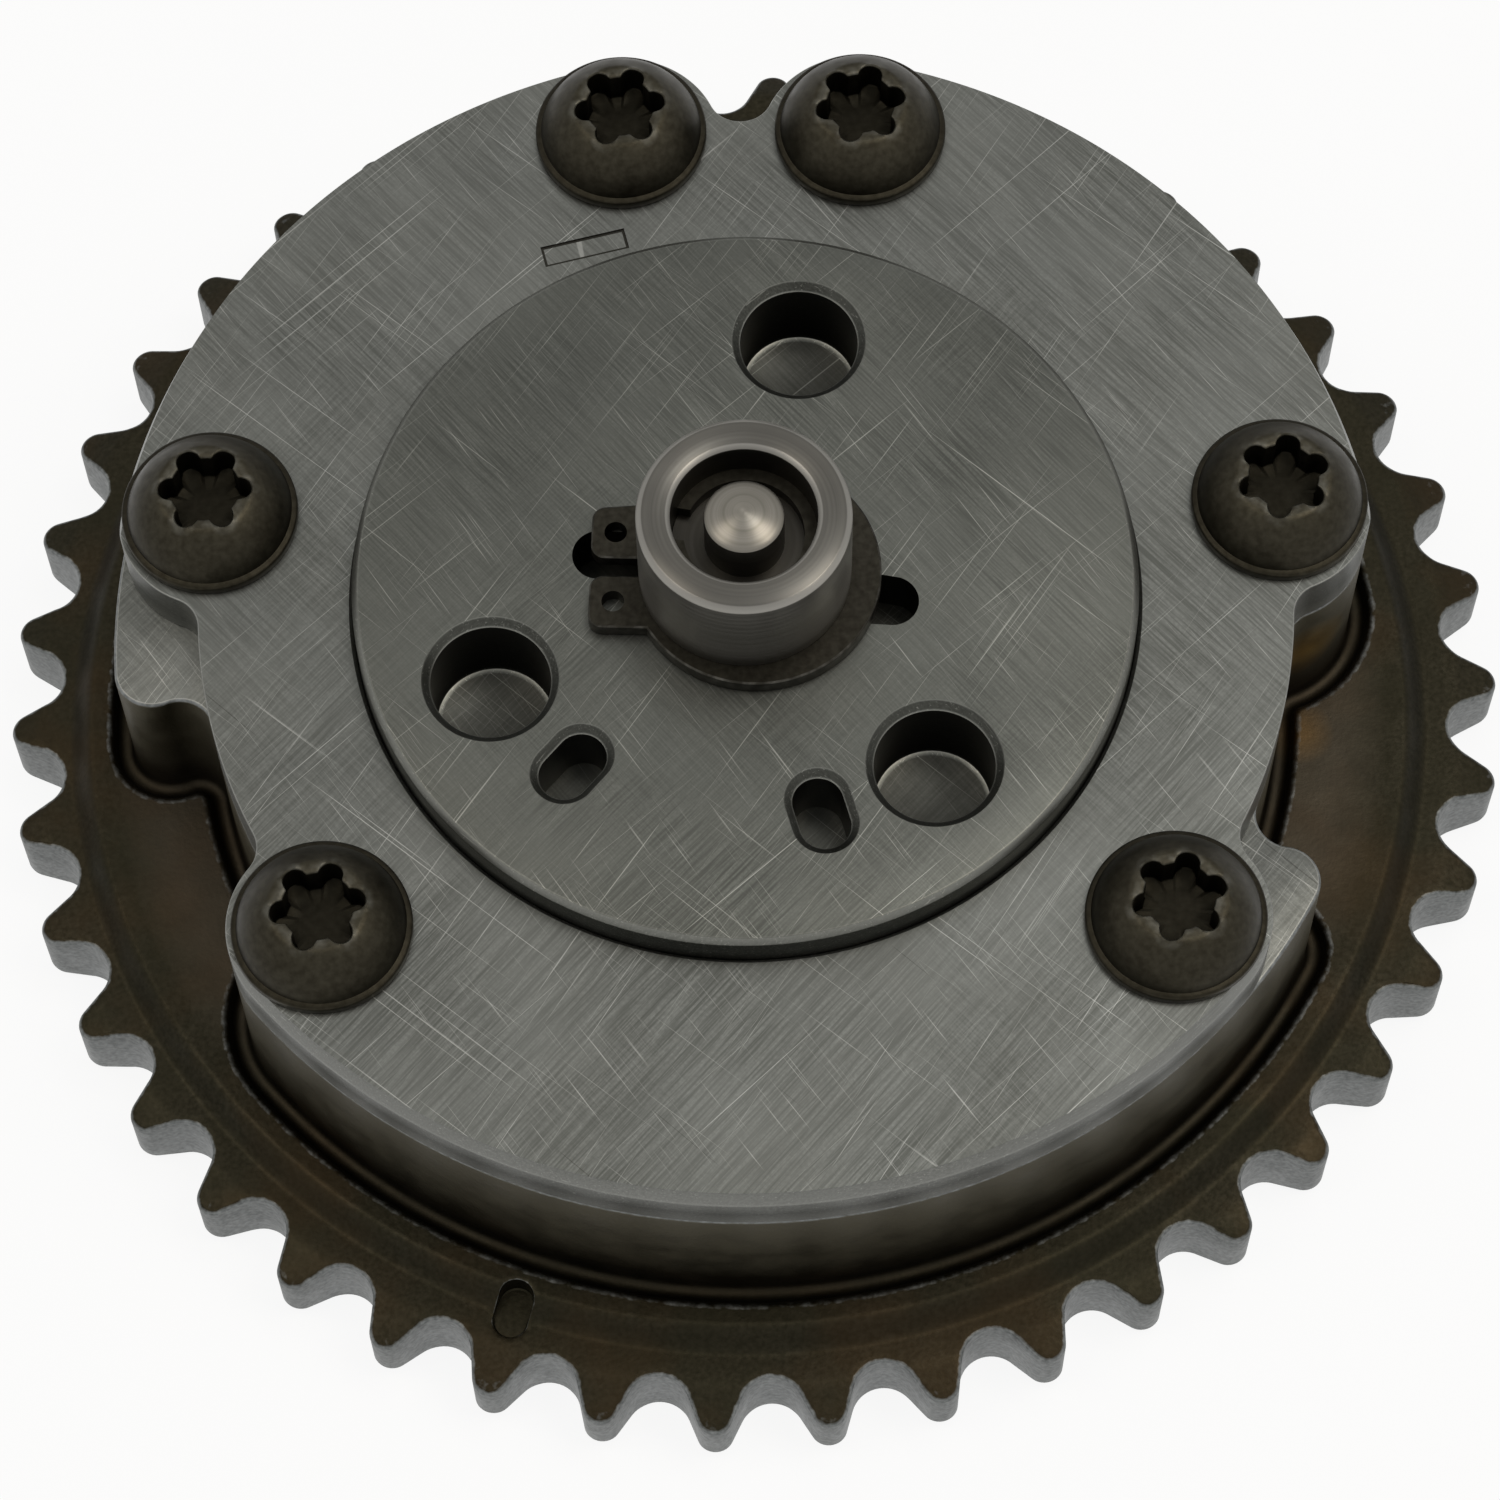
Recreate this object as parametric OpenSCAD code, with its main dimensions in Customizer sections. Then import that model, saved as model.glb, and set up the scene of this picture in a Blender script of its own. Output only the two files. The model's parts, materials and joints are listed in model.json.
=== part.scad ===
// Vane type cam phaser with a chain sprocket, stored with its rear face on Z = 0 and its axis on Z.

/* [Sprocket] */
// Number of chain teeth
tooth_count = 42; // [42:1:46]
// Chain pitch
chain_pitch = 8; // [8:0.1:8.6]
// Depth of the tooth gap below the pitch circle
seat_depth = 2; // [1.8:0.05:2.2]
// Height of the tooth tip above the pitch circle
addendum = 1.77; // [1.6:0.01:1.9]
// Radius of the round bottom of a tooth gap
seat_r = 2.3; // [2.1:0.05:2.4]
// Radius of the round tooth tip
tip_round = 1.3; // [1.1:0.05:1.35]
// Thickness of the tooth rim
tooth_width = 6.7; // [6:0.1:7.5]
// Thickness taken off each side of the tooth tip
tip_relief = 0.85; // [0.3:0.05:1.2]
// Radial length of the relieved tip
relief_length = 2.7; // [1.5:0.1:3.2]
// Angle of the first tooth from +X
tooth_phase = 1.45; // [0:0.01:8]
// Rise of the three rounded corners of the toothed ring above its mean radius
oval_rise = 0.7; // [0.4:0.05:0.8]
// Angle of the first rounded corner of the ring
oval_angle = 14; // [10:0.5:18]

/* [Housing] */
// Radius of the flat ledge around the wall
ledge_r = 48.5; // [47.5:0.1:49]
// Height of the ledge above the tooth rim
ledge_rise = 1.5; // [1.2:0.1:2.4]
// Radial length of the slope from the ledge to the rim
ledge_slope = 1.8; // [1:0.1:2.4]
// Outer radius of the housing wall
wall_r = 45.4; // [45:0.1:46]
// Height of the front face of the housing
housing_top = 20.9; // [20.6:0.1:21.6]
// Floor radius of the notches in the wall and the front plate
notch_r = 38.9; // [38.6:0.1:39.2]
// Width of the groove at the foot of the wall
groove_width = 1.5; // [1:0.1:1.8]
// Depth of the groove at the foot of the wall
groove_depth = 1; // [0.3:0.1:1.1]
// Outer radius of the oil chambers
chamber_r = 40.6; // [40.2:0.1:41]
// Half angle of the two upper chambers
side_chamber_half = 25.6; // [25.6:0.1:26]
// Half angle of the lower chamber
low_chamber_half = 39.9; // [39.9:0.1:40.2]
// Angle from +Y to the middle of an upper chamber
side_chamber_at = 47.25; // [47:0.05:47.5]
// Gap between the dividers and the hub
divider_gap = 0.3; // [0.25:0.05:0.4]
// Length of the pill shaped timing mark
mark_length = 3.8; // [2.5:0.1:4]
// Width of the timing mark
mark_width = 2.5; // [1.2:0.1:2.6]
// Depth of the timing mark into the rim
mark_depth = 0.5; // [0.2:0.1:0.8]
// Angle of the timing mark
mark_angle = 250.1; // [245:0.1:255]
// Radius of the middle of the timing mark
mark_ring = 49.9; // [49.8:0.1:50.2]

/* [Plates] */
// Outer radius of the front plate
plate_r = 45.4; // [45:0.1:45.8]
// Thickness of the front plate
front_t = 4.7; // [4.2:0.1:5]
// Radial width of the turned band on the front edge of the plate
plate_edge = 0.5; // [0.3:0.1:0.8]
// Height of the turned band
plate_band = 1.3; // [0.8:0.1:1.6]
// Thickness of the back plate
back_t = 3.5; // [3.3:0.1:4]
// Radius of the back plate
back_r = 43.3; // [43:0.1:43.5]
// Width of the shallow rectangle on the plate
tally_width = 6.3; // [5:0.1:7]
// Height of the shallow rectangle on the plate
tally_height = 1.7; // [1.2:0.1:2]
// Depth of the shallow rectangle on the plate
tally_depth = 0.12; // [0.05:0.01:0.3]

/* [Screws] */
// Radius of the screw circle
screw_ring = 38.8; // [38.6:0.1:39]
// Angle from +Y to the upper screws
screw_at_top = 13.15; // [13:0.05:13.4]
// Angle from +Y to the side screws
screw_at_side = 79.95; // [79.8:0.05:80.2]
// Angle from +Y to the lower screws
screw_at_low = 130.65; // [130.4:0.05:130.9]
// Thread radius of the screws
thread_r = 3; // [2.8:0.05:3.1]
// Radius of the screw flange
flange_r = 6.3; // [6:0.1:6.5]
// Thickness of the screw flange
flange_t = 0.9; // [0.6:0.1:1.2]
// Radius of the ball that shapes the screw head
dome_r = 6.22; // [6.15:0.01:6.3]
// Depth of the centre of that ball below the plate face
dome_drop = 1.05; // [1:0.01:1.1]
// Height of the screw head
head_h = 4.2; // [3.8:0.1:4.4]
// Radius over the lobes of the drive recess
drive_r = 3.3; // [3:0.01:3.4]
// Depth of the drive recess
drive_depth = 2.8; // [2:0.1:3]

/* [Rotor] */
// Radius of the hub disc
hub_r = 27.8; // [27.6:0.1:28]
// Height of the hub face
hub_top = 28.2; // [28:0.1:28.5]
// Chamfer of the hub face
hub_edge = 0.4; // [0.2:0.1:0.8]
// Free turn of the rotor each way from the middle
travel = 12.5; // [10:0.1:12.5]
// Half angle of the two narrow vanes
side_vane_half = 11.6; // [9:0.1:11.6]
// Radial gap at the vane tips
vane_gap = 0.3; // [0.25:0.05:0.4]
// Radius of the round pockets
pocket_r = 4.25; // [4:0.05:4.4]
// Depth of the round pockets
pocket_depth = 7.4; // [6:0.1:7.5]
// Radius of the circle the pockets stand on
pocket_ring = 19.45; // [19.2:0.05:19.8]
// Chamfer of the pocket rims
rim_edge = 0.5; // [0.2:0.1:0.6]
// Radius of the circle the oblong holes stand on
oblong_ring = 18.65; // [18.3:0.05:19]
// Width of the oblong holes
oblong_width = 3.6; // [3:0.1:3.8]
// Length of the oblong holes
oblong_length = 5.4; // [4.6:0.1:5.8]
// Depth of the oblong holes
oblong_depth = 5.6; // [4:0.1:6.4]
// Width of the cross slot
slot_width = 3.8; // [3.2:0.1:4]
// Reach of the cross slot from the axis
slot_reach = 12.4; // [11.5:0.1:12.8]
// Depth of the cross slot
slot_depth = 4.6; // [3:0.1:5.5]
// Angle of the cross slot
slot_angle = 169.35; // [165:0.05:173]
// Radius of the rear boss that turns in the back plate
boss_r = 17.5; // [17.3:0.1:17.7]
// Radius of the oil ports
port_r = 1.2; // [0.9:0.1:1.2]
// Height of the oil ports
port_z = 18.8; // [18.7:0.1:18.9]

/* [Camshaft seat] */
// Radius of the camshaft pilot bore
pilot_r = 9.3; // [9.2:0.05:9.4]
// Depth of the camshaft pilot bore
pilot_depth = 2.8; // [2.5:0.1:2.8]
// Radius of the camshaft bolt circle
cam_bolt_ring = 13.2; // [13:0.1:13.4]
// Radius of the camshaft bolt holes
cam_bolt_r = 2.5; // [2.2:0.05:2.6]
// Depth of the camshaft bolt holes
cam_bolt_depth = 9; // [7:0.5:11]
// Radius of the dowel hole
dowel_r = 2.05; // [1.8:0.05:2.1]
// Depth of the dowel hole
dowel_depth = 5; // [4:0.5:6]

/* [Valve] */
// Outer radius of the sleeve
sleeve_r = 7.5; // [7.4:0.05:7.6]
// Height of the sleeve top
sleeve_top = 38.3; // [38.1:0.1:38.7]
// Bore radius of the sleeve
bore_r = 5.1; // [5:0.05:5.2]
// Radius of the sleeve flange
sleeve_flange_r = 8.6; // [8.4:0.05:8.7]
// Thickness of the sleeve flange
sleeve_flange_t = 2; // [1.6:0.1:2]
// Thickness of the circlip
circlip_t = 1.3; // [1:0.1:1.4]
// Outer radius of the circlip
circlip_r = 8.85; // [8.6:0.05:9]
// Offset of the circlip towards its thick side
circlip_shift = 0.75; // [0.5:0.05:0.8]
// Turn of the circlip past the cross slot in degrees
circlip_turn = 8.5; // [0:0.5:20]
// Height of the stop ring in the sleeve
stop_z = 34.1; // [34.1:0.1:34.5]
// Radius of the spool nose
nose_r = 2.8; // [2.6:0.1:3.2]
// Height of the edge of the spool nose
nose_top = 37.8; // [37.5:0.1:37.9]
// Rise of the dome on the spool nose
nose_dome = 0.8; // [0.5:0.1:1]
// Stroke of the spool
spool_stroke = 3; // [2.5:0.1:3]
// Radius of the necks of the spool
neck_r = 3.4; // [3.2:0.1:3.6]

/* [Check valves] */
// Radius of the inlet ball
inlet_ball_r = 2; // [1.9:0.05:2.1]
// Radius of the inlet hole
inlet_r = 1.3; // [1.2:0.05:1.4]
// Radius of the recirculation balls
recirc_ball_r = 2.2; // [2.1:0.05:2.3]
// Bore radius of the recirculation valves
recirc_bore_r = 3; // [2.9:0.05:3.1]
// Radius of the circle they stand on
recirc_ring = 22.5; // [22.3:0.1:22.7]

/* [Lock] */
// Radius of the lock pin
lock_r = 3.95; // [3.8:0.05:4]
// Length of the lock pin
lock_length = 8; // [7:0.1:9]
// Depth of the lock pin bore in the vane
lock_bore_depth = 15; // [13:0.5:16]
// Free overtravel of the lock pin
lock_stroke = 0.8; // [0.5:0.1:1.2]

/* [Fits] */
// Radial gap of a running fit
run_gap = 0.06; // [0.04:0.01:0.08]
// Gap between the rotor and the plates
end_gap = 0.05; // [0.04:0.01:0.08]
// Gap of parts that are pressed or seated together
seat_gap = 0.02; // [0.01:0.01:0.03]

/* [Hidden] */
$fn = 96;
// Overrun of a cutter past the face it cuts
over = 1;
// Reach of a wedge cutter
reach = 70;
// Depth to which neighbouring rounds of an outline cross each other
bite = 0.03;
pitch_r = chain_pitch / (2 * sin(180 / tooth_count));
root_r = pitch_r - seat_depth;
tip_r = pitch_r + addendum;
ledge_z = tooth_width + ledge_rise;
plate_top = housing_top + front_t;
rotor_low = back_t + end_gap;
rotor_high = housing_top - end_gap;
divider_r = hub_r + divider_gap;
vane_r = chamber_r - vane_gap;
// Half angle of the wide vane, which stops on the dividers just past the free turn
low_vane_half = low_chamber_half - travel - 0.15;
hole_r = thread_r + 0.3;
// Angles of +Y and of -Y
top_at = 90;
low_at = 270;
screw_angles = [top_at - screw_at_top, top_at + screw_at_top, top_at - screw_at_side, top_at + screw_at_side,
    top_at - screw_at_low, top_at + screw_at_low];
// Angles of the middles of the right and the left chamber
right_at = top_at - side_chamber_at;
left_at = top_at + side_chamber_at;
chambers = [[right_at, side_chamber_half], [left_at, side_chamber_half], [low_at, low_chamber_half]];
vanes = [[right_at, side_vane_half], [left_at, side_vane_half], [low_at, low_vane_half]];
divider_angles = [top_at, 196.5, 343.5];
vane_seal_angles = [right_at, left_at, 250];
pocket_angles = [78, 203, 312.05];
oblong_angles = [229.4, 285.95];
// Oil ports beside the vanes, of which the first two feed the check valves
port_off = side_vane_half + 4;
port_angles = [left_at - port_off, right_at + port_off, left_at + port_off, right_at - port_off, 238.5, 301.5];
cam_bolt_angles = [30, 150, 270];
// Angles of the screws beside the side notches
left_high = top_at + screw_at_side;
left_low = top_at + screw_at_low;
right_low = top_at - screw_at_low + 360;
right_high = top_at - screw_at_side + 360;
// Angles of the two steps of the wall that reach past the plate
left_step = 184.4;
right_step = 331.4;
// Radii of the collars around the screws and of the lobes of the two steps
collar_r = 7.1;
left_lobe_r = 2.8;
right_lobe_r = 2.6;
// Radius of the inner corners of the notches
corner_r = 2.4;
// Place and turn of the shallow rectangle on the plate
tally_at = [-11.18, 28.61];
tally_turn = 11;
// Seal bars
seal_width = 2.1;
seal_slot = seal_width + 0.1;
seal_height = 2.9;
seal_slot_depth = 3.8;
leaf_t = 0.3;
leaf_bow_r = 54;
leaf_length = 15;
leaf_depth = 3;
// Valve stack along the axis
sleeve_low = pilot_depth + 0.2;
plug_low = sleeve_low + 0.4;
inlet_seat_z = plug_low + 1.4;
plug_high = plug_low + 7;
cage_t = 0.7;
cage_ring = 2.1;
cage_hole_r = 0.55;
cage_top = plug_high + cage_t;
spool_low = cage_top + spool_stroke + 0.2;
land_r = bore_r - 0.04;
spring_bore_r = land_r - 1.2;
spring_bore_top = spool_low + 2.8;
neck_a_low = port_z - port_r - 0.1;
neck_a_high = port_z + port_r + 1.1;
neck_b_low = neck_a_high + 3.4;
neck_b_high = neck_b_low + 4.5;
stop_t = 1;
inlet_ball_z = inlet_seat_z + sqrt(inlet_ball_r * inlet_ball_r - inlet_r * inlet_r) + seat_gap;
inlet_chamber_r = inlet_ball_r + 0.7;
clip_groove_r = sleeve_r - 0.4;
clip_low = hub_top + 0.05;
// Ears of the circlip
ear_ring = 8.4;
ear_off = 2.7;
ear_length = 3;
ear_width = 4;
ear_round = 1;
ear_hole_r = 0.8;
circlip_gap = 1.4;
stop_gap = 2.4;
// Recirculation valves
recirc_seat_z = 14;
// Height of the seat above the side ports
recirc_drop = 5;
recirc_hole_r = 1.4;
recirc_plug_top = 6;
recirc_ball_z = recirc_seat_z - sqrt(recirc_ball_r * recirc_ball_r - recirc_hole_r * recirc_hole_r) - seat_gap;
// Lock
// The pin stands midway between the hub and the chamber wall
lock_ring = (hub_r + chamber_r) / 2;
lock_bore_r = lock_r + 0.05;
lock_tip_r = lock_r - 0.75;
lock_bush_r = 4.6;
lock_hole_r = lock_tip_r + 0.15;
lock_bush_low = 0.5;
lock_tip_length = 2.6;
lock_spring_bore_r = lock_r - 1.15;

// Piece to draw

// Point at a radius and an angle
function polar(r, a) = [r * cos(a), r * sin(a)];

// Radius at which the centre of a round lobe stands, so that its round crosses the outer one
function lobe_at(rl, ro) = ro - rl + bite;

// Radius at which the centre of a round inner corner stands, so that its round crosses the floor
function corner_at(rf, ri) = ri + rf - bite;

// Angle between the centre of a round lobe and the centre of the round corner beside it
function lobe_turn(rl, rf, ro, ri) = acos((pow(lobe_at(rl, ro), 2) + pow(corner_at(rf, ri), 2)
    - pow(rl + rf - bite, 2)) / (2 * lobe_at(rl, ro) * corner_at(rf, ri)));

// Wedge from the axis between two angles
module wedge(a1, a2) {
    polygon(concat([[0, 0]], [for (k = [0:6]) polar(reach, a1 + (a2 - a1) * k / 6)]));
}

// Ring sector between two radii
module sector(r1, r2, mid, half) {
    difference() {
        intersection() {
            circle(r = r2);
            wedge(mid - half, mid + half);
        }
        circle(r = r1);
    }
}

// End of a notch: the space beside a round lobe, as far as the round corner
module notch_end(at, way, rl, rf, ro, ri) {
    turn = lobe_turn(rl, rf, ro, ri);
    lobe = polar(lobe_at(rl, ro), at);
    // The cutter runs a little past the corner so that the cutters of one notch overlap
    past = at + way * (turn + 1);
    difference() {
        polygon([lobe, polar(reach, at), polar(reach, past), polar(corner_at(rf, ri), past),
            polar(corner_at(rf, ri), at + way * turn)]);
        translate(lobe) circle(r = rl);
    }
}

// Round inner corner of a notch
module notch_corner(at, rf, ri) translate(polar(corner_at(rf, ri), at)) circle(r = rf);

// Notch in a round outline between two lobes
module notch(a1, a2, rl1, rl2, rf, ro, ri) {
    c1 = a1 + lobe_turn(rl1, rf, ro, ri);
    c2 = a2 - lobe_turn(rl2, rf, ro, ri);
    notch_end(a1, 1, rl1, rf, ro, ri);
    notch_end(a2, -1, rl2, rf, ro, ri);
    notch_corner(c1, rf, ri);
    notch_corner(c2, rf, ri);
    difference() {
        wedge(c1, c2);
        circle(r = ri);
    }
}

// Small notch with one round corner at the middle
module top_notch(rl, rf, ro, ri) {
    turn = lobe_turn(rl, rf, ro, ri);
    notch_end(top_at - turn, 1, rl, rf, ro, ri);
    notch_end(top_at + turn, -1, rl, rf, ro, ri);
    notch_corner(top_at, rf, ri);
}

// Outline of the front plate
module plate_outline() difference() {
    circle(r = plate_r);
    notch(left_high, left_low, collar_r, collar_r, corner_r, plate_r, notch_r);
    notch(right_low, right_high, collar_r, collar_r, corner_r, plate_r, notch_r);
    top_notch(collar_r, corner_r, plate_r, notch_r);
}

// Outline of the housing wall grown by g, which reaches past the plate at two steps
module wall_outline(g) {
    ro = wall_r + g;
    ri = notch_r + g;
    rf = corner_r - g;
    difference() {
        circle(r = ro);
        notch(left_step, left_low, left_lobe_r + g, collar_r + g, rf, ro, ri);
        notch(right_step, right_high, right_lobe_r + g, collar_r + g, rf, ro, ri);
        top_notch(collar_r + g, rf, ro, ri);
    }
}

// Place on the toothed ring counted in teeth, which keeps an even pitch along its three lobes
function ring_at(r, k) = let (a = tooth_phase + k * 360 / tooth_count, w = 3 * (a - oval_angle))
    polar(r + oval_rise * cos(w), a - oval_rise * sin(w) / (3 * pitch_r) * 180 / PI);

// Direction square to the flank between a round tip and the round gap on one side of it
function flank(tip, seat, way) = let (d = seat - tip,
    a = atan2(d[1], d[0]) - way * acos((tip_round + seat_r - 2 * bite) / norm(d))) [cos(a), sin(a)];

// Corners of one side of a tooth, from the root to the tip
function tooth_side(k, way) = let (tip = ring_at(tip_r - tip_round, k), seat = ring_at(root_r + seat_r, k + way / 2),
    n = flank(tip, seat, way), past = k + way * 0.56)
    // The flanks stand a hair inside the round tip and the round gap so that the lines cross
    [ring_at(root_r - 2 * over, past), ring_at(root_r + seat_r / 2, past), seat - (seat_r - bite) * n,
        tip + (tip_round - bite) * n];

// Outline of the toothed rim
module tooth_outline() difference() {
    union() {
        circle(r = root_r - over);
        for (k = [0:tooth_count - 1]) {
            left = tooth_side(k, 1);
            translate(ring_at(tip_r - tip_round, k)) circle(r = tip_round);
            polygon(concat(tooth_side(k, -1), [for (j = [3:-1:0]) left[j]]));
        }
    }
    for (k = [0:tooth_count - 1]) translate(ring_at(root_r + seat_r, k + 0.5)) circle(r = seat_r);
}

// Pill shape along X
module pill(length, width) {
    square([length - width, width], center = true);
    for (s = [-1, 1]) translate([s * (length - width) / 2, 0]) circle(d = width);
}

// Upright bar at a radius and an angle
module bar(r1, r2, width, at, z1, z2) {
    rotate(at) translate([r1, -width / 2, z1]) cube([r2 - r1, width, z2 - z1]);
}

// Bowed leaf strip whose ends press outward at radius r1 and whose middle lies at r2
module leaf(r1, at, way) {
    mid_z = (rotor_low + rotor_high) / 2;
    rotate(at) translate([r1, 0, mid_z]) intersection() {
        translate([way * leaf_bow_r, 0, 0]) rotate([90, 0, 0]) difference() {
            cylinder(r = leaf_bow_r, h = seal_width - 0.3, center = true, $fn = 200);
            cylinder(r = leaf_bow_r - leaf_t, h = seal_width, center = true, $fn = 200);
        }
        cube([leaf_depth, seal_width, leaf_length], center = true);
    }
}

// Round wire coil between two heights
module coil(r, wire, z1, z2, turns) {
    n = round(turns * 16);
    m = 8;
    ring_points = [for (i = [0:n], j = [0:m - 1])
        let (a = 360 * turns * i / n, b = 360 * j / m, c = r + wire * cos(b))
        [c * cos(a), c * sin(a), z1 + wire + (z2 - z1 - 2 * wire) * i / n + wire * sin(b)]];
    side_faces = [for (i = [0:n - 1], j = [0:m - 1], t = [0, 1])
        t == 0 ? [i * m + j, i * m + (j + 1) % m, (i + 1) * m + (j + 1) % m]
            : [i * m + j, (i + 1) * m + (j + 1) % m, (i + 1) * m + j]];
    polyhedron(ring_points, concat(side_faces, [[for (j = [m - 1:-1:0]) j]], [[for (j = [0:m - 1]) n * m + j]]));
}

// Housing with the toothed rim, the web ledge, the wall and the chambers
module sprocket_housing() color([0.2, 0.19, 0.16]) difference() {
    union() {
        intersection() {
            linear_extrude(tooth_width) tooth_outline();
            rotate_extrude() polygon([[0, 0], [tip_r - relief_length, 0], [tip_r + over, tip_relief + 0.3],
                [tip_r + over, tooth_width - tip_relief - 0.3], [tip_r - relief_length, tooth_width], [0, tooth_width]]);
        }
        difference() {
            rotate_extrude() polygon([[0, 0], [ledge_r + ledge_slope, 0], [ledge_r + ledge_slope, tooth_width],
                [ledge_r, ledge_z], [0, ledge_z]]);
            translate([0, 0, ledge_z - groove_depth]) linear_extrude(groove_depth + over) wall_outline(groove_width);
        }
        translate([0, 0, tooth_width]) linear_extrude(housing_top - tooth_width) wall_outline(0);
    }
    translate([0, 0, back_t - over]) linear_extrude(housing_top) {
        circle(r = divider_r);
        for (c = chambers) sector(divider_r - over, chamber_r, c[0], c[1]);
    }
    translate([0, 0, -over]) cylinder(r = back_r + seat_gap, h = back_t + over);
    for (a = screw_angles) rotate(a) translate([screw_ring, 0, 0]) cylinder(r = hole_r, h = housing_top + over);
    for (a = divider_angles)
        bar(divider_r - over, divider_r + seal_slot_depth, seal_slot, a, back_t - over, housing_top + over);
    rotate(mark_angle) translate([mark_ring, 0, tooth_width - mark_depth])
        linear_extrude(ledge_z) pill(mark_length, mark_width);
}

// Ground front cover
module front_plate() color([0.45, 0.45, 0.43]) difference() {
    intersection() {
        translate([0, 0, housing_top]) linear_extrude(front_t) plate_outline();
        translate([0, 0, housing_top]) rotate_extrude() polygon([[0, 0], [plate_r + over, 0],
            [plate_r + over, front_t - plate_band * (1 + over / plate_edge)], [plate_r - plate_edge, front_t], [0, front_t]]);
    }
    translate([0, 0, housing_top - over]) cylinder(r = hub_r + run_gap, h = front_t + 2 * over);
    for (a = screw_angles) rotate(a) translate([screw_ring, 0, housing_top - over])
        cylinder(r = hole_r, h = front_t + 2 * over);
    translate([tally_at[0], tally_at[1], plate_top - tally_depth]) rotate(tally_turn)
        translate([-tally_width / 2, -tally_height / 2, 0]) cube([tally_width, tally_height, over]);
}

// Rear cover with the screw threads
module back_plate() color([0.42, 0.42, 0.41]) difference() {
    cylinder(r = back_r, h = back_t);
    translate([0, 0, -over]) cylinder(r = boss_r + run_gap, h = back_t + 2 * over);
    for (a = screw_angles) rotate(a) translate([screw_ring, 0, -over]) cylinder(r = thread_r, h = back_t + 2 * over);
    rotate(low_at - travel) translate([lock_ring, 0, lock_bush_low]) cylinder(r = lock_bush_r, h = back_t);
}

// Six button screws with a flange and a six lobe drive
module plate_screws() color([0.1, 0.1, 0.1]) for (a = screw_angles) rotate(a) translate([screw_ring, 0, 0])
    plate_screw();

// One button screw on the Z axis
module plate_screw() difference() {
    union() {
        translate([0, 0, 0.3]) cylinder(r = thread_r, h = plate_top - 0.3);
        translate([0, 0, plate_top]) cylinder(r = flange_r, h = flange_t);
        translate([0, 0, plate_top]) intersection() {
            translate([0, 0, -dome_drop]) sphere(r = dome_r);
            cylinder(r = flange_r, h = head_h);
        }
    }
    translate([0, 0, plate_top + head_h - drive_depth]) {
        cylinder(r = drive_r * 0.73, h = head_h);
        for (k = [0:5]) rotate(60 * k) translate([drive_r * 0.745, 0, 0]) cylinder(r = drive_r * 0.255, h = head_h);
    }
}

// Hard bush that takes the lock pin
module lock_bushing() color([0.5, 0.5, 0.5]) rotate(low_at - travel) translate([lock_ring, 0, lock_bush_low]) difference() {
    cylinder(r = lock_bush_r, h = back_t - lock_bush_low);
    translate([0, 0, -over]) cylinder(r = lock_hole_r, h = back_t + 2 * over);
}

// Seal bars in the dividers
module divider_seals() color([0.25, 0.24, 0.22]) for (a = divider_angles)
    bar(hub_r + run_gap, hub_r + run_gap + seal_height, seal_width, a, rotor_low, rotor_high);

// Leaf springs behind the divider seals
module divider_seal_springs() color([0.55, 0.55, 0.53]) for (a = divider_angles)
    leaf(hub_r + run_gap + seal_height + 0.05, a, 1);

// Rotor with the hub, three vanes and the rear boss
module rotor() color([0.47, 0.47, 0.45]) difference() {
    union() {
        translate([0, 0, rotor_low]) cylinder(r = hub_r, h = hub_top - hub_edge - rotor_low);
        translate([0, 0, hub_top - hub_edge]) cylinder(r1 = hub_r, r2 = hub_r - hub_edge, h = hub_edge);
        cylinder(r = boss_r, h = rotor_low + over);
        translate([0, 0, rotor_low]) linear_extrude(rotor_high - rotor_low)
            for (v = vanes) sector(hub_r - over, vane_r, v[0], v[1]);
    }
    translate([0, 0, -over]) cylinder(r = pilot_r, h = pilot_depth + over);
    cylinder(r = sleeve_flange_r + seat_gap, h = sleeve_low + sleeve_flange_t + seat_gap);
    cylinder(r = sleeve_r + seat_gap, h = hub_top + over);
    for (a = pocket_angles) rotate(a) translate([pocket_ring, 0, 0]) {
        translate([0, 0, hub_top - pocket_depth]) cylinder(r = pocket_r, h = pocket_depth + over);
        translate([0, 0, hub_top - rim_edge]) cylinder(r1 = pocket_r, r2 = pocket_r + 2 * rim_edge, h = 2 * rim_edge);
    }
    for (a = oblong_angles) rotate(a) translate([oblong_ring, 0, 0]) oblong_cut();
    rotate(slot_angle) translate([0, 0, hub_top - slot_depth]) linear_extrude(slot_depth + over)
        pill(2 * slot_reach, slot_width);
    for (a = cam_bolt_angles) rotate(a) translate([cam_bolt_ring, 0, -over])
        cylinder(r = cam_bolt_r, h = cam_bolt_depth + over);
    rotate(90) translate([cam_bolt_ring, 0, -over]) cylinder(r = dowel_r, h = dowel_depth + over);
    for (k = [0:5]) oil_port(port_angles[k], sleeve_r - over, k < 2 ? recirc_ring : hub_r + over);
    for (k = [0, 1]) rotate(port_angles[k]) translate([recirc_ring, 0, 0]) {
        cylinder(r = recirc_bore_r, h = recirc_seat_z);
        cylinder(r = recirc_hole_r, h = port_z);
        translate([0, 0, recirc_seat_z - recirc_drop]) rotate([0, 90, 0]) cylinder(r = port_r, h = hub_r - recirc_ring + over);
    }
    for (a = vane_seal_angles) bar(vane_r - seal_slot_depth, vane_r + over, seal_slot, a, 0, housing_top);
    rotate(low_at) translate([lock_ring, 0, 0]) {
        cylinder(r = lock_bore_r, h = rotor_low + lock_bore_depth);
        cylinder(r = port_r, h = housing_top);
    }
}

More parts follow.
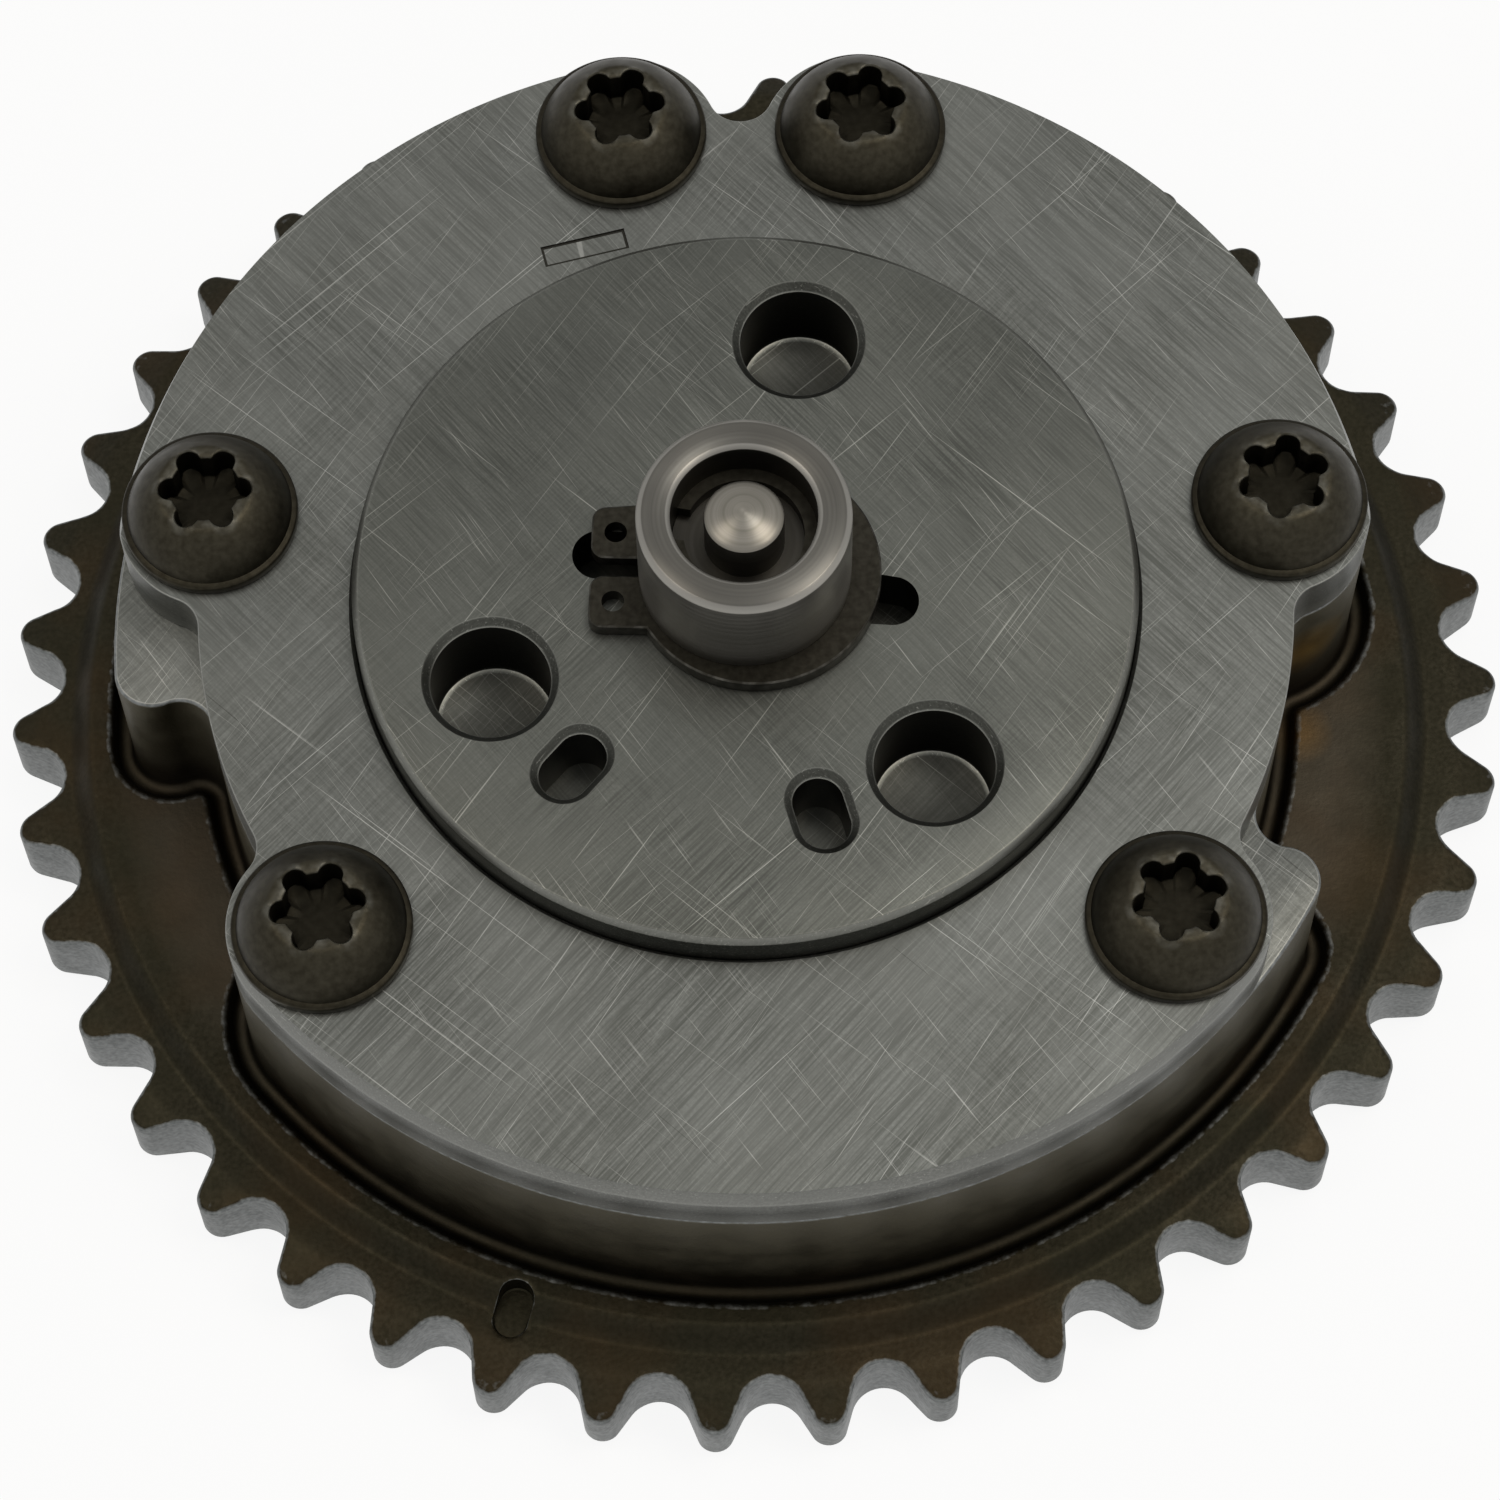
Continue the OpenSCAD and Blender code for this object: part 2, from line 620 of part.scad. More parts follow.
// Radial oil port between two radii
module oil_port(at, r1, r2) {
    rotate(at) translate([r1, 0, port_z]) rotate([0, 90, 0]) cylinder(r = port_r, h = r2 - r1);
}

// Oblong blind hole with a chamfered rim, long way along X
module oblong_cut() {
    half = (oblong_length - oblong_width) / 2;
    rim = oblong_width / 2;
    translate([0, 0, hub_top - oblong_depth]) linear_extrude(oblong_depth + over) pill(oblong_length, oblong_width);
    for (s = [-1, 1]) translate([s * half, 0, hub_top - rim_edge])
        cylinder(r1 = rim, r2 = rim + 2 * rim_edge, h = 2 * rim_edge);
    translate([-half, 0, hub_top - rim_edge]) rotate([90, 0, 90]) linear_extrude(2 * half)
        polygon([[-rim, 0], [rim, 0], [rim + 2 * rim_edge, 2 * rim_edge], [-rim - 2 * rim_edge, 2 * rim_edge]]);
}

// Seal bars in the vane tips
module vane_seals() color([0.25, 0.24, 0.22]) intersection() {
    translate([0, 0, rotor_low]) cylinder(r = chamber_r - run_gap, h = rotor_high - rotor_low);
    for (a = vane_seal_angles) bar(chamber_r - run_gap - seal_height, chamber_r, seal_width, a, rotor_low, rotor_high);
}

// Leaf springs below the vane seals
module vane_seal_springs() color([0.55, 0.55, 0.53]) for (a = vane_seal_angles)
    leaf(chamber_r - run_gap - seal_height - 0.05, a, -1);

// Sleeve of the spool valve
module valve_sleeve() color([0.6, 0.6, 0.58]) difference() {
    union() {
        translate([0, 0, sleeve_low]) cylinder(r = sleeve_flange_r, h = sleeve_flange_t);
        translate([0, 0, sleeve_low]) cylinder(r = sleeve_r, h = sleeve_top - sleeve_low - 0.4);
        translate([0, 0, sleeve_top - 0.4]) cylinder(r1 = sleeve_r, r2 = sleeve_r - 0.4, h = 0.4);
    }
    translate([0, 0, sleeve_low - over]) cylinder(r = bore_r, h = sleeve_top);
    translate([0, 0, sleeve_top - 0.3]) cylinder(r1 = bore_r, r2 = bore_r + 0.6, h = 0.6);
    translate([0, 0, clip_low]) difference() {
        cylinder(r = sleeve_r + over, h = circlip_t + seat_gap);
        translate([0, 0, -over]) cylinder(r = clip_groove_r, h = circlip_t + 3 * over);
    }
    translate([0, 0, stop_z - seat_gap]) cylinder(r = bore_r + 0.55, h = stop_t + 2 * seat_gap);
    for (a = port_angles) oil_port(a, bore_r - 0.5, sleeve_r + over);
}

// Eared circlip at the foot of the sleeve
module sleeve_circlip() color([0.15, 0.15, 0.14]) translate([0, 0, clip_low])
    rotate(slot_angle + circlip_turn)
    linear_extrude(circlip_t) difference() {
        union() {
            translate([-circlip_shift, 0]) circle(r = circlip_r);
            for (s = [-1, 1]) translate([ear_ring, s * ear_off]) {
                square([ear_length, ear_width], center = true);
                translate([ear_length / 2, 0]) square([2 * ear_round, ear_width - 2 * ear_round], center = true);
                for (t = [-1, 1]) translate([ear_length / 2, t * (ear_width / 2 - ear_round)]) circle(r = ear_round);
            }
        }
        circle(r = clip_groove_r + seat_gap);
        translate([0, -circlip_gap / 2]) square([2 * circlip_r, circlip_gap]);
        for (s = [-1, 1]) translate([ear_ring + ear_hole_r, s * ear_off]) circle(r = ear_hole_r);
    }

// Snap ring that stops the spool
module spool_stop_ring() color([0.3, 0.3, 0.29]) translate([0, 0, stop_z]) linear_extrude(stop_t) difference() {
    circle(r = bore_r + 0.5);
    circle(r = bore_r - 0.9);
    rotate(slot_angle) translate([0, -stop_gap / 2]) square([2 * bore_r, stop_gap]);
}

// Plug with the oil inlet at the rear of the sleeve
module sleeve_end_plug() color([0.55, 0.52, 0.42]) difference() {
    translate([0, 0, plug_low]) cylinder(r = bore_r, h = plug_high - plug_low);
    translate([0, 0, plug_low - over]) cylinder(r = inlet_r, h = plug_high);
    translate([0, 0, inlet_seat_z]) cylinder(r = inlet_chamber_r, h = plug_high);
}

// Perforated disc that backs the inlet spring
module inlet_cage() color([0.55, 0.55, 0.53]) translate([0, 0, plug_high]) linear_extrude(cage_t) difference() {
    circle(r = bore_r - seat_gap);
    for (a = [0:60:300]) rotate(a) translate([cage_ring, 0]) circle(r = cage_hole_r);
}

// Pressed plugs under the recirculation springs
module recirc_plugs() color([0.55, 0.52, 0.42]) for (k = [0, 1]) rotate(port_angles[k])
    translate([recirc_ring, 0, rotor_low]) cylinder(r = recirc_bore_r, h = recirc_plug_top - rotor_low);

// Spool with three lands and a domed nose
module spool() color([0.62, 0.61, 0.58]) difference() {
    ball_r = (nose_r * nose_r + nose_dome * nose_dome) / (2 * nose_dome);
    land_top = stop_z - end_gap;
    union() {
        translate([0, 0, spool_low]) cylinder(r = land_r, h = neck_a_low - spool_low);
        translate([0, 0, spool_low + over]) cylinder(r = neck_r, h = land_top - spool_low - over);
        translate([0, 0, neck_a_high]) cylinder(r = land_r, h = neck_b_low - neck_a_high);
        translate([0, 0, neck_b_high]) cylinder(r = land_r, h = land_top - neck_b_high);
        translate([0, 0, land_top - over]) intersection() {
            cylinder(r = nose_r, h = sleeve_top);
            translate([0, 0, nose_top + nose_dome - ball_r - land_top + over]) sphere(r = ball_r, $fn = 128);
        }
    }
    translate([0, 0, spool_low - over]) cylinder(r = spring_bore_r, h = spring_bore_top - spool_low + over);
}

// Coil that pushes the spool out
module spool_spring() color([0.5, 0.5, 0.48])
    coil(spring_bore_r - 0.5, 0.3, cage_top + seat_gap, spring_bore_top - seat_gap, 4);

// Inlet check ball
module inlet_ball() color([0.7, 0.7, 0.7]) translate([0, 0, inlet_ball_z]) sphere(r = inlet_ball_r);

// Coil above the inlet ball
module inlet_spring() color([0.5, 0.5, 0.48]) coil(1.2, 0.15, inlet_ball_z + 1.8, plug_high - seat_gap, 3);

// Recirculation ball at one port
module recirc_ball(k) rotate(port_angles[k]) translate([recirc_ring, 0, recirc_ball_z]) sphere(r = recirc_ball_r);

// Coil below a recirculation ball
module recirc_spring(k) rotate(port_angles[k]) translate([recirc_ring, 0, 0])
    coil(1.3, 0.2, recirc_plug_top + seat_gap, recirc_ball_z - 1.95, 4);

// Recirculation ball on the left
module recirc_ball_a() color([0.7, 0.7, 0.7]) recirc_ball(0);

// Coil below the left recirculation ball
module recirc_spring_a() color([0.5, 0.5, 0.48]) recirc_spring(0);

// Recirculation ball on the right
module recirc_ball_b() color([0.7, 0.7, 0.7]) recirc_ball(1);

// Coil below the right recirculation ball
module recirc_spring_b() color([0.5, 0.5, 0.48]) recirc_spring(1);

// Lock pin in the wide vane, with its tip on the back plate
module lock_pin() color([0.55, 0.55, 0.55]) rotate(low_at) translate([lock_ring, 0, rotor_low]) difference() {
    union() {
        cylinder(r = lock_tip_r, h = lock_length);
        translate([0, 0, lock_tip_length]) cylinder(r = lock_r, h = lock_length - lock_tip_length);
    }
    translate([0, 0, lock_tip_length]) cylinder(r = lock_spring_bore_r, h = lock_length);
}

// Coil behind the lock pin
module lock_pin_spring() color([0.5, 0.5, 0.48]) rotate(low_at) translate([lock_ring, 0, 0])
    coil(lock_spring_bore_r - 0.6, 0.4, rotor_low + lock_tip_length + seat_gap, rotor_low + lock_bore_depth - seat_gap, 6);

sprocket_housing();
front_plate();
back_plate();
plate_screws();
lock_bushing();
divider_seals();
divider_seal_springs();
rotor();
vane_seals();
vane_seal_springs();
valve_sleeve();
sleeve_circlip();
spool_stop_ring();
sleeve_end_plug();
inlet_cage();
recirc_plugs();
spool();
spool_spring();
inlet_ball();
inlet_spring();
recirc_ball_a();
recirc_spring_a();
recirc_ball_b();
recirc_spring_b();
lock_pin();
lock_pin_spring();
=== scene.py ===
# %% [markdown]
# A cam phaser joins a timing chain to a camshaft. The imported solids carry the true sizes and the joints.
# This lesson dresses them: each piece that the eye meets is computed again as a smooth surface with rounded
# edges, and each finish is built from nodes. The solids stay where they are, so every piece fits by number.

# %% Load the frame
import json
import math

import bpy
import numpy as np
from mathutils import Matrix, Vector
from mathutils.geometry import delaunay_2d_cdt


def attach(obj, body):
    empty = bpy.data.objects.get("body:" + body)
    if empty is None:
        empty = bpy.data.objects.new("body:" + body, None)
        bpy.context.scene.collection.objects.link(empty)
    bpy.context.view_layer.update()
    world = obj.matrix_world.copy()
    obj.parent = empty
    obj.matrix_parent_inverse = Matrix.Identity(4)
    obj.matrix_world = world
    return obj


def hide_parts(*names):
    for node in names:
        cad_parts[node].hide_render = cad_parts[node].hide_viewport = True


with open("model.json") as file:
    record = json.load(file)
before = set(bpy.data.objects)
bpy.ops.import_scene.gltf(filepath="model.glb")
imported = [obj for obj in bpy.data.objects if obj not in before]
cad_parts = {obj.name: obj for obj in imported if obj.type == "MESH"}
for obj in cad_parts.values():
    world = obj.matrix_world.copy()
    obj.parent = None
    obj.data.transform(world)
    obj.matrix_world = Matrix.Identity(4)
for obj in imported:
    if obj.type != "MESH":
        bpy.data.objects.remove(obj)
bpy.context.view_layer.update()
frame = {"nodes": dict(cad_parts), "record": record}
MM = 0.001

# %% [markdown]
# Every edge of a turned or pressed part is a chain of circle arcs. An outline is kept as points with the
# normals of those arcs, so that it can be grown or shrunk exactly: a grown point is the point plus a step
# along its normal. Lengths are in millimetres and angles in degrees until a mesh is made of them.

# %% Outlines made of arcs
FINE, FINER = 0.2, 0.15


def polar(radius, degrees):
    """Point at a radius and an angle: radius times (cosine, sine)."""
    angle = np.radians(degrees)
    return np.stack([radius * np.cos(angle), radius * np.sin(angle)], -1)


def arc(centre, radius, start, end, step=0.4, side=1):
    """Points centre + radius (cos a, sin a) from start up to end, and normals side (cos a, sin a)."""
    count = max(3, int(abs(math.radians(end - start)) * radius / step))
    ways = polar(1.0, np.linspace(start, end, count, endpoint=False))
    return np.asarray(centre) + radius * ways, side * ways


def chain(*arcs):
    """One closed outline from arcs that follow each other: their points and their normals end to end."""
    return np.concatenate([a[0] for a in arcs]), np.concatenate([a[1] for a in arcs])


def circle(radius, count, centre=(0, 0)):
    """Closed circle: centre + radius (cos a, sin a) over a full turn."""
    ways = polar(1.0, np.arange(count) * 360 / count)
    return np.asarray(centre) + radius * ways, ways


def heading(vector):
    """Angle of a flat vector in degrees."""
    return math.degrees(math.atan2(vector[1], vector[0]))


def turned(points, degrees):
    """Points turned about the axis: (x cos a - y sin a, x sin a + y cos a)."""
    c, s = math.cos(math.radians(degrees)), math.sin(math.radians(degrees))
    return points @ np.array([[c, s], [-s, c]])


def spread(points, step):
    """Outline with straight runs cut into steps: each edge gets points by linear mixing of its ends."""
    following = np.roll(points, -1, 0)
    counts = np.maximum(1, (np.linalg.norm(following - points, axis=1) / step).astype(int))
    which = np.repeat(np.arange(len(points)), counts)
    part = (np.arange(counts.sum()) - np.repeat(np.cumsum(counts) - counts, counts)) / counts[which]
    return points[which] + part[:, None] * (following - points)[which]


def stepped(outer, inner, spans):
    """Loop at an outer radius over spans, each a middle and a half angle, and at an inner one between."""
    bends = []
    for (mid, half), (next_mid, next_half) in zip(spans, spans[1:] + [(spans[0][0] + 360, spans[0][1])]):
        end, start = mid + half, next_mid - next_half
        bends += [arc((0, 0), outer, mid - half, end)[0], polar(outer, np.array([end])),
                  arc((0, 0), inner, end, start)[0], polar(inner, np.array([start]))]
    return spread(np.concatenate(bends), 0.6)


# %% [markdown]
# A solid is then a few sheets that share their edges. A skirt carries an outline through a list of offsets
# and heights, and a face fills an outline around its holes. The sheets are welded where they meet, and edges
# that turn sharply are marked sharp, so the rounds shade softly and the corners stay crisp. Each sheet also
# carries a mark: above zero the coat is rubbed off, and on some sheets a highlight is painted; below zero a
# shade is painted into recesses, grooves and gaps.

# %% Sheets and pieces
LEAST_AREA, JOIN_WITHIN, DECIMALS = 1e-7, 1e-5, 4


def lifted(flat, heights):
    """Flat points (x, y) with their heights, as (x, y, z)."""
    return np.concatenate([flat, np.broadcast_to(heights, flat.shape[:-1])[..., None]], -1)


def skirt(outline, normals, stations):
    """Sheet p(i, j) = outline j + offset i normal j, at height i; a station is an offset and a height."""
    offsets, heights = np.array(stations, float).T[:, :, None]
    return lifted(outline[None] + offsets[..., None] * normals[None], heights)


def revolve(profile, count):
    """Sheet p(i, j) = (r i cos a j, r i sin a j, z i) for a profile of radius and height pairs."""
    ways = polar(1.0, np.arange(count) * 360 / count)
    return skirt(np.zeros_like(ways), ways, profile)


def sheet(grid, flip=False, wear_and_painted_light=0.0):
    """Quads of a grid that closes on itself along its second way, with one mark value or one for each row; a
    mark holds rubbed coat and painted light.
    """
    rows, cols = grid.shape[:2]
    at = np.arange(rows * cols).reshape(rows, cols)
    beyond = np.roll(at, -1, 1)
    quads = np.stack([at[:-1], beyond[:-1], beyond[1:], at[1:]], -1).reshape(-1, 4)
    marks = np.repeat(np.broadcast_to(np.asarray(wear_and_painted_light, float), rows), cols)
    return grid.reshape(-1, 3), quads[:, ::-1] if flip else quads, marks, True


def inside(points, loop):
    """True where a ray from the point crosses the closed loop an odd number of times."""
    ends = np.roll(loop, -1, 0)
    x, y = points[:, 0][:, None], points[:, 1][:, None]
    spans = (loop[:, 1] > y) != (ends[:, 1] > y)
    rise = np.where(ends[:, 1] == loop[:, 1], 1.0, ends[:, 1] - loop[:, 1])
    cross = loop[:, 0] + (y - loop[:, 1]) * (ends[:, 0] - loop[:, 0]) / rise
    return ((spans & (x < cross)).sum(1) % 2) == 1


def face(outer, holes, z, up=True, wear_and_painted_light=0.0, spots=None):
    """Sheet between a loop and its holes, cut by Delaunay; z and the mark of rubbed coat and painted light
    are values or functions of (x, y).
    """
    loops = [outer] + list(holes)
    points = np.concatenate(loops if spots is None else loops + [spots])
    starts = np.cumsum([0] + [len(loop) for loop in loops[:-1]])
    runs = [start + np.arange(len(loop)) for start, loop in zip(starts, loops)]
    edges = np.concatenate([np.stack([run, np.roll(run, -1)], -1) for run in runs])
    found = delaunay_2d_cdt(points.tolist(), edges.tolist(), [], 0, JOIN_WITHIN)
    corners = np.array([points[given[0]] if given else tuple(v) for v, given in zip(found[0], found[3])])
    tris = np.array(found[2])
    a, b, c = corners[tris[:, 0]], corners[tris[:, 1]], corners[tris[:, 2]]
    twice_area = (b - a)[:, 0] * (c - a)[:, 1] - (b - a)[:, 1] * (c - a)[:, 0]
    middle = (a + b + c) / 3
    keep = inside(middle, outer) & (np.abs(twice_area) > LEAST_AREA)
    for hole in holes:
        keep &= ~inside(middle, hole)
    tris = np.where(((twice_area > 0) == up)[:, None], tris, tris[:, ::-1])[keep]
    level = z(corners) if callable(z) else np.full(len(corners), float(z))
    marks = wear_and_painted_light(corners) if callable(wear_and_painted_light) else np.full(len(corners), float(wear_and_painted_light))
    return np.column_stack([corners, level]), tris, marks, callable(z)


def squared(faces):
    """Faces as rows of four, where a triangle repeats its last corner."""
    return faces if faces.shape[1] == 4 else faces[:, [0, 1, 2, 2]]


def piece(name, parts, body, replaced, sharp=38.0):
    """Welds sheets where places agree to 0.1 micrometre; each face corner keeps the mark of rubbed coat and
    painted light of its own sheet.
    """
    starts = np.cumsum([0] + [len(part[0]) for part in parts[:-1]])
    points = np.round(np.concatenate([part[0] for part in parts]), DECIMALS)
    places, where = np.unique(points, axis=0, return_inverse=True)
    where = where.reshape(-1)
    corners = np.concatenate([squared(where[part[1] + start]) for part, start in zip(parts, starts)])
    marks = np.concatenate([squared(part[2][part[1]]) for part in parts])
    smooth = np.concatenate([np.full(len(part[1]), part[3]) for part in parts])
    differs = corners != np.roll(corners, -1, 1)
    whole = differs.sum(1) >= 3
    corners, marks, smooth, differs = corners[whole], marks[whole], smooth[whole], differs[whole]
    faces = np.split(corners[differs], np.cumsum(differs.sum(1))[:-1])
    mesh = bpy.data.meshes.new(name)
    mesh.from_pydata((places * MM).tolist(), [], [f.tolist() for f in faces])
    # This attribute holds rubbed coat and painted highlights above zero, and painted shade below zero.
    wear_and_light = mesh.attributes.new("wear_and_light", "FLOAT", "CORNER")
    wear_and_light.data.foreach_set("value", marks[differs].astype(np.float32))
    mesh.polygons.foreach_set("use_smooth", smooth)
    mesh.set_sharp_from_angle(angle=math.radians(sharp))
    obj = bpy.data.objects.new(name, mesh)
    bpy.context.scene.collection.objects.link(obj)
    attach(obj, body)
    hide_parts(replaced)
    ends = np.sort(np.stack([corners, np.roll(corners, -1, 1)], -1)[differs], -1)
    unshared = int((np.unique(ends, axis=0, return_counts=True)[1] != 2).sum())
    print(name, "points", len(places), "faces", len(faces), "edges not shared by two faces", unshared)
    return obj


# %% [markdown]
# The chain rim has teeth with a round tip of 1.3 mm and a round gap of 2.3 mm, joined by straight flanks that
# touch both rounds. The ring is not quite round: its radius swells by 0.7 mm three times around, which calms
# the chain. Tips and gaps follow that wave, and each is turned a little so that the pitch along the ring
# stays even.

# %% Tooth outline
TEETH, CHAIN_PITCH = 42, 8.0
PITCH_R = CHAIN_PITCH / (2 * math.sin(math.pi / TEETH))
ROOT_R, TIP_R = PITCH_R - 2.0, PITCH_R + 1.77
SEAT_ROUND, TIP_ROUND = 2.3, 1.3
SEAT_POINTS, TIP_POINTS = 18, 14
TOOTH_PHASE, RIM_Z = 1.45, 6.7
OVAL_RISE, OVAL_AT = 0.7, 14.0


def on_ring(radius, count):
    """Place counted in teeth: radius + rise cos 3(a - a0), at a - rise sin 3(a - a0) / (3 pitch radius)."""
    a = TOOTH_PHASE + count * 360 / TEETH
    wave = np.radians(3 * (a - OVAL_AT))
    return polar(radius + OVAL_RISE * np.cos(wave), a - np.degrees(OVAL_RISE * np.sin(wave) / (3 * PITCH_R)))


def flank_way(tips, seats, side):
    """Angle square to a flank: the way from tip to gap, less side times acos(both rounds / distance)."""
    across = seats - tips
    share = (TIP_ROUND + SEAT_ROUND) / np.linalg.norm(across, axis=-1)
    return np.degrees(np.arctan2(across[:, 1], across[:, 0]) - side * np.arccos(share))


number = np.arange(TEETH)
tips, seats = on_ring(TIP_R - TIP_ROUND, number), on_ring(ROOT_R + SEAT_ROUND, number + 0.5)
ahead, behind = flank_way(tips, seats, 1), flank_way(tips, np.roll(seats, 1, 0), -1)
tip_sweep, seat_sweep = (ahead - behind) % 360, (ahead - np.roll(behind, -1)) % 360
tip_ways = polar(1.0, behind[:, None] + tip_sweep[:, None] * np.linspace(0, 1, TIP_POINTS))
seat_ways = polar(1.0, ahead[:, None] + 180 - seat_sweep[:, None] * np.linspace(0, 1, SEAT_POINTS))
tip_arcs, seat_arcs = tips[:, None] + TIP_ROUND * tip_ways, seats[:, None] + SEAT_ROUND * seat_ways
teeth = np.concatenate([tip_arcs, seat_arcs], 1).reshape(-1, 2)
teeth_n = np.concatenate([tip_ways, -seat_ways], 1).reshape(-1, 2)
print("tooth outline", len(teeth), "points, swing", np.round(np.ptp(np.linalg.norm(tips, axis=1)), 2))

# %% [markdown]
# The plate and the wall behind it share one plan: a circle with two wide notches at the sides and a small one
# at the top. Beside a notch the outline runs around a screw as a round collar and then into a round inner
# corner. At two places the wall reaches further than the plate, with a smaller lobe of its own.

# %% Plan of the plate and of the wall
NOTCH_R, COLLAR_R, CORNER_R, PLAN_R = 38.9, 7.1, 2.4, 45.4
LEFT_HIGH, LEFT_LOW, RIGHT_LOW, RIGHT_HIGH = 169.95, 220.65, 319.35, 370.05
WALL_LEFT, WALL_LEFT_LOBE, WALL_RIGHT, WALL_RIGHT_LOBE = 184.4, 2.8, 331.4, 2.6
LEAST_FLOOR = 0.1
SCREW_AT = 90 + np.array([-13.15, 13.15, -79.95, 79.95, -130.65, 130.65])
SCREW_CIRCLE, SCREW_HOLE_R = 38.8, 3.3


def lobe_turn(lobe):
    """Angle at the axis between a lobe and its corner, by the cosine rule on their centres and the axis."""
    a, b, c = PLAN_R - lobe, NOTCH_R + CORNER_R, lobe + CORNER_R
    return math.degrees(math.acos((a * a + b * b - c * c) / (2 * a * b)))


def notch(first, last, lobe1, lobe2):
    """Arcs of one notch in turn: lobe, inner corner, floor if there is room for it, inner corner, lobe."""
    turn1, turn2 = first + lobe_turn(lobe1), last - lobe_turn(lobe2)
    centre1, centre2 = polar(PLAN_R - lobe1, first), polar(PLAN_R - lobe2, last)
    corner1, corner2 = polar(NOTCH_R + CORNER_R, turn1), polar(NOTCH_R + CORNER_R, turn2)
    out1 = first + (heading(corner1 - centre1) - first) % 360
    out2 = last - (last - heading(corner2 - centre2)) % 360
    between = [arc((0, 0), NOTCH_R, turn1, turn2)] if turn2 - turn1 > LEAST_FLOOR else []
    return [arc(centre1, lobe1, first, out1, FINE),
            arc(corner1, CORNER_R, out1 + 180, turn1 + 180, FINE, -1), *between,
            arc(corner2, CORNER_R, turn2 + 180, out2 + 180, FINE, -1),
            arc(centre2, lobe2, out2, last, FINE)]


def plan(left, right):
    """Outline counter-clockwise from the top notch; left and right give two angles and two lobe radii."""
    turn = lobe_turn(COLLAR_R)
    return chain(*notch(90 - turn, 90 + turn, COLLAR_R, COLLAR_R), arc((0, 0), PLAN_R, 90 + turn, left[0]),
                 *notch(*left), arc((0, 0), PLAN_R, left[1], right[0]),
                 *notch(*right), arc((0, 0), PLAN_R, right[1], 450 - turn))


wall, wall_n = plan((WALL_LEFT, LEFT_LOW, WALL_LEFT_LOBE, COLLAR_R),
                    (WALL_RIGHT, RIGHT_HIGH, WALL_RIGHT_LOBE, COLLAR_R))
cover, cover_n = plan((LEFT_HIGH, LEFT_LOW, COLLAR_R, COLLAR_R), (RIGHT_LOW, RIGHT_HIGH, COLLAR_R, COLLAR_R))
screw_places = polar(SCREW_CIRCLE, SCREW_AT)
screw_holes = [circle(SCREW_HOLE_R, 32, p) for p in screw_places]
hole_loops = [h[0] for h in screw_holes]
print("wall outline", len(wall), "cover outline", len(cover))

# %% [markdown]
# The sprocket is one pressed and sintered steel piece: toothed rim, a shoulder that rises to a ledge, a
# groove with a soft lip around the foot of the wall, and the wall itself. The rim is lofted from the tooth
# outline with rounded edges, the height of the shoulder is a function of the radius, and the groove and the
# wall are skirts around the wall outline.

# %% Sprocket housing
EDGE = 0.3
RELIEF_FROM, RELIEF_SLOPE = TIP_R - 2.7, 1.15 / 3.7
SHOULDER_R, SHOULDER_RUN, LEDGE_FROM, LEDGE_Z, HOUSING_TOP = 50.45, 2.0, 47.72, 8.2, 20.9
TIP_WEAR = 0.38
REAR_R, RECESS_R, RECESS_DEEP = 50.2, 43.32, 3.5
REAR_STEP, FOLD_STEP = 0.15, 0.05
MARK_LONG, MARK_WIDE, MARK_AT_R, MARK_AT, MARK_FLOOR = 3.8, 2.5, 49.9, 250.1, 6.2
SPOT_GAP = 0.3
LIP_OUT, LIP_Z, LIP_ROUND = 1.95, 7.75, 0.45
DIP_OUT, DIP_Z, DIP_HALF, DIP_DEEP = 0.75, 7.7, 0.65, 0.5
CHAMBER_R, DIVIDER_R = 40.6, 28.1
CHAMBER_SPANS = [(42.75, 25.6), (137.25, 25.6), (270, 39.9)]


def rim_height(radius):
    """Height of the top of the rim: 6.7 mm, falling with the tip relief past the radius where that begins."""
    return RIM_Z - RELIEF_SLOPE * np.maximum(0, radius - RELIEF_FROM)


def web_height(points):
    """Height of web and shoulder: a smooth step t t (3 - 2 t) of the radius from rim to ledge."""
    radius = np.linalg.norm(points, axis=-1)
    t = np.clip((SHOULDER_R - radius) / SHOULDER_RUN, 0, 1)
    return rim_height(radius) + (LEDGE_Z - RIM_Z) * t * t * (3 - 2 * t)


def tip_wear(points):
    """Wear of the top of the teeth: none up to the root, then growing with the radius to 0.38 at the tip."""
    return np.clip((np.linalg.norm(points, axis=-1) - ROOT_R) / (TIP_R - ROOT_R), 0, 1) * TIP_WEAR


def pill(length, width, at_r, at_deg):
    """Outline of a slot with round ends whose long way points at the axis: two half circles."""
    half, end_r = (length - width) / 2, width / 2
    points, normals = chain(arc((half, 0), end_r, -90, 90, FINER), arc((-half, 0), end_r, 90, 270, FINER))
    return turned(points, at_deg) + polar(at_r, at_deg), turned(normals, at_deg)


bow = np.radians(np.linspace(0, 90, 5))
drop_in, drop_up = EDGE * (1 - np.cos(bow)), EDGE * (1 - np.sin(bow))
rings = teeth[None] - drop_in[:, None, None] * teeth_n[None]
rim_edge = rings[-1]
round_top = lifted(rings, rim_height(np.linalg.norm(rings, axis=-1)) - drop_up[:, None])
round_low = round_top * [1, 1, -1] + [0, 0, RIM_Z]
rear_in = REAR_R * rim_edge / np.linalg.norm(rim_edge, axis=-1)[:, None]
beside = rim_edge - REAR_STEP * teeth_n
reach = np.linalg.norm(beside, axis=-1)
fold = beside * (np.minimum(reach - FOLD_STEP, RELIEF_FROM) / reach)[:, None]
rear_rows = np.stack([rim_edge, beside, fold, rear_in])
rear_face = lifted(rear_rows, RIM_Z - rim_height(np.linalg.norm(rear_rows, axis=-1)))
ledge = circle(LEDGE_FROM, 540)[0]
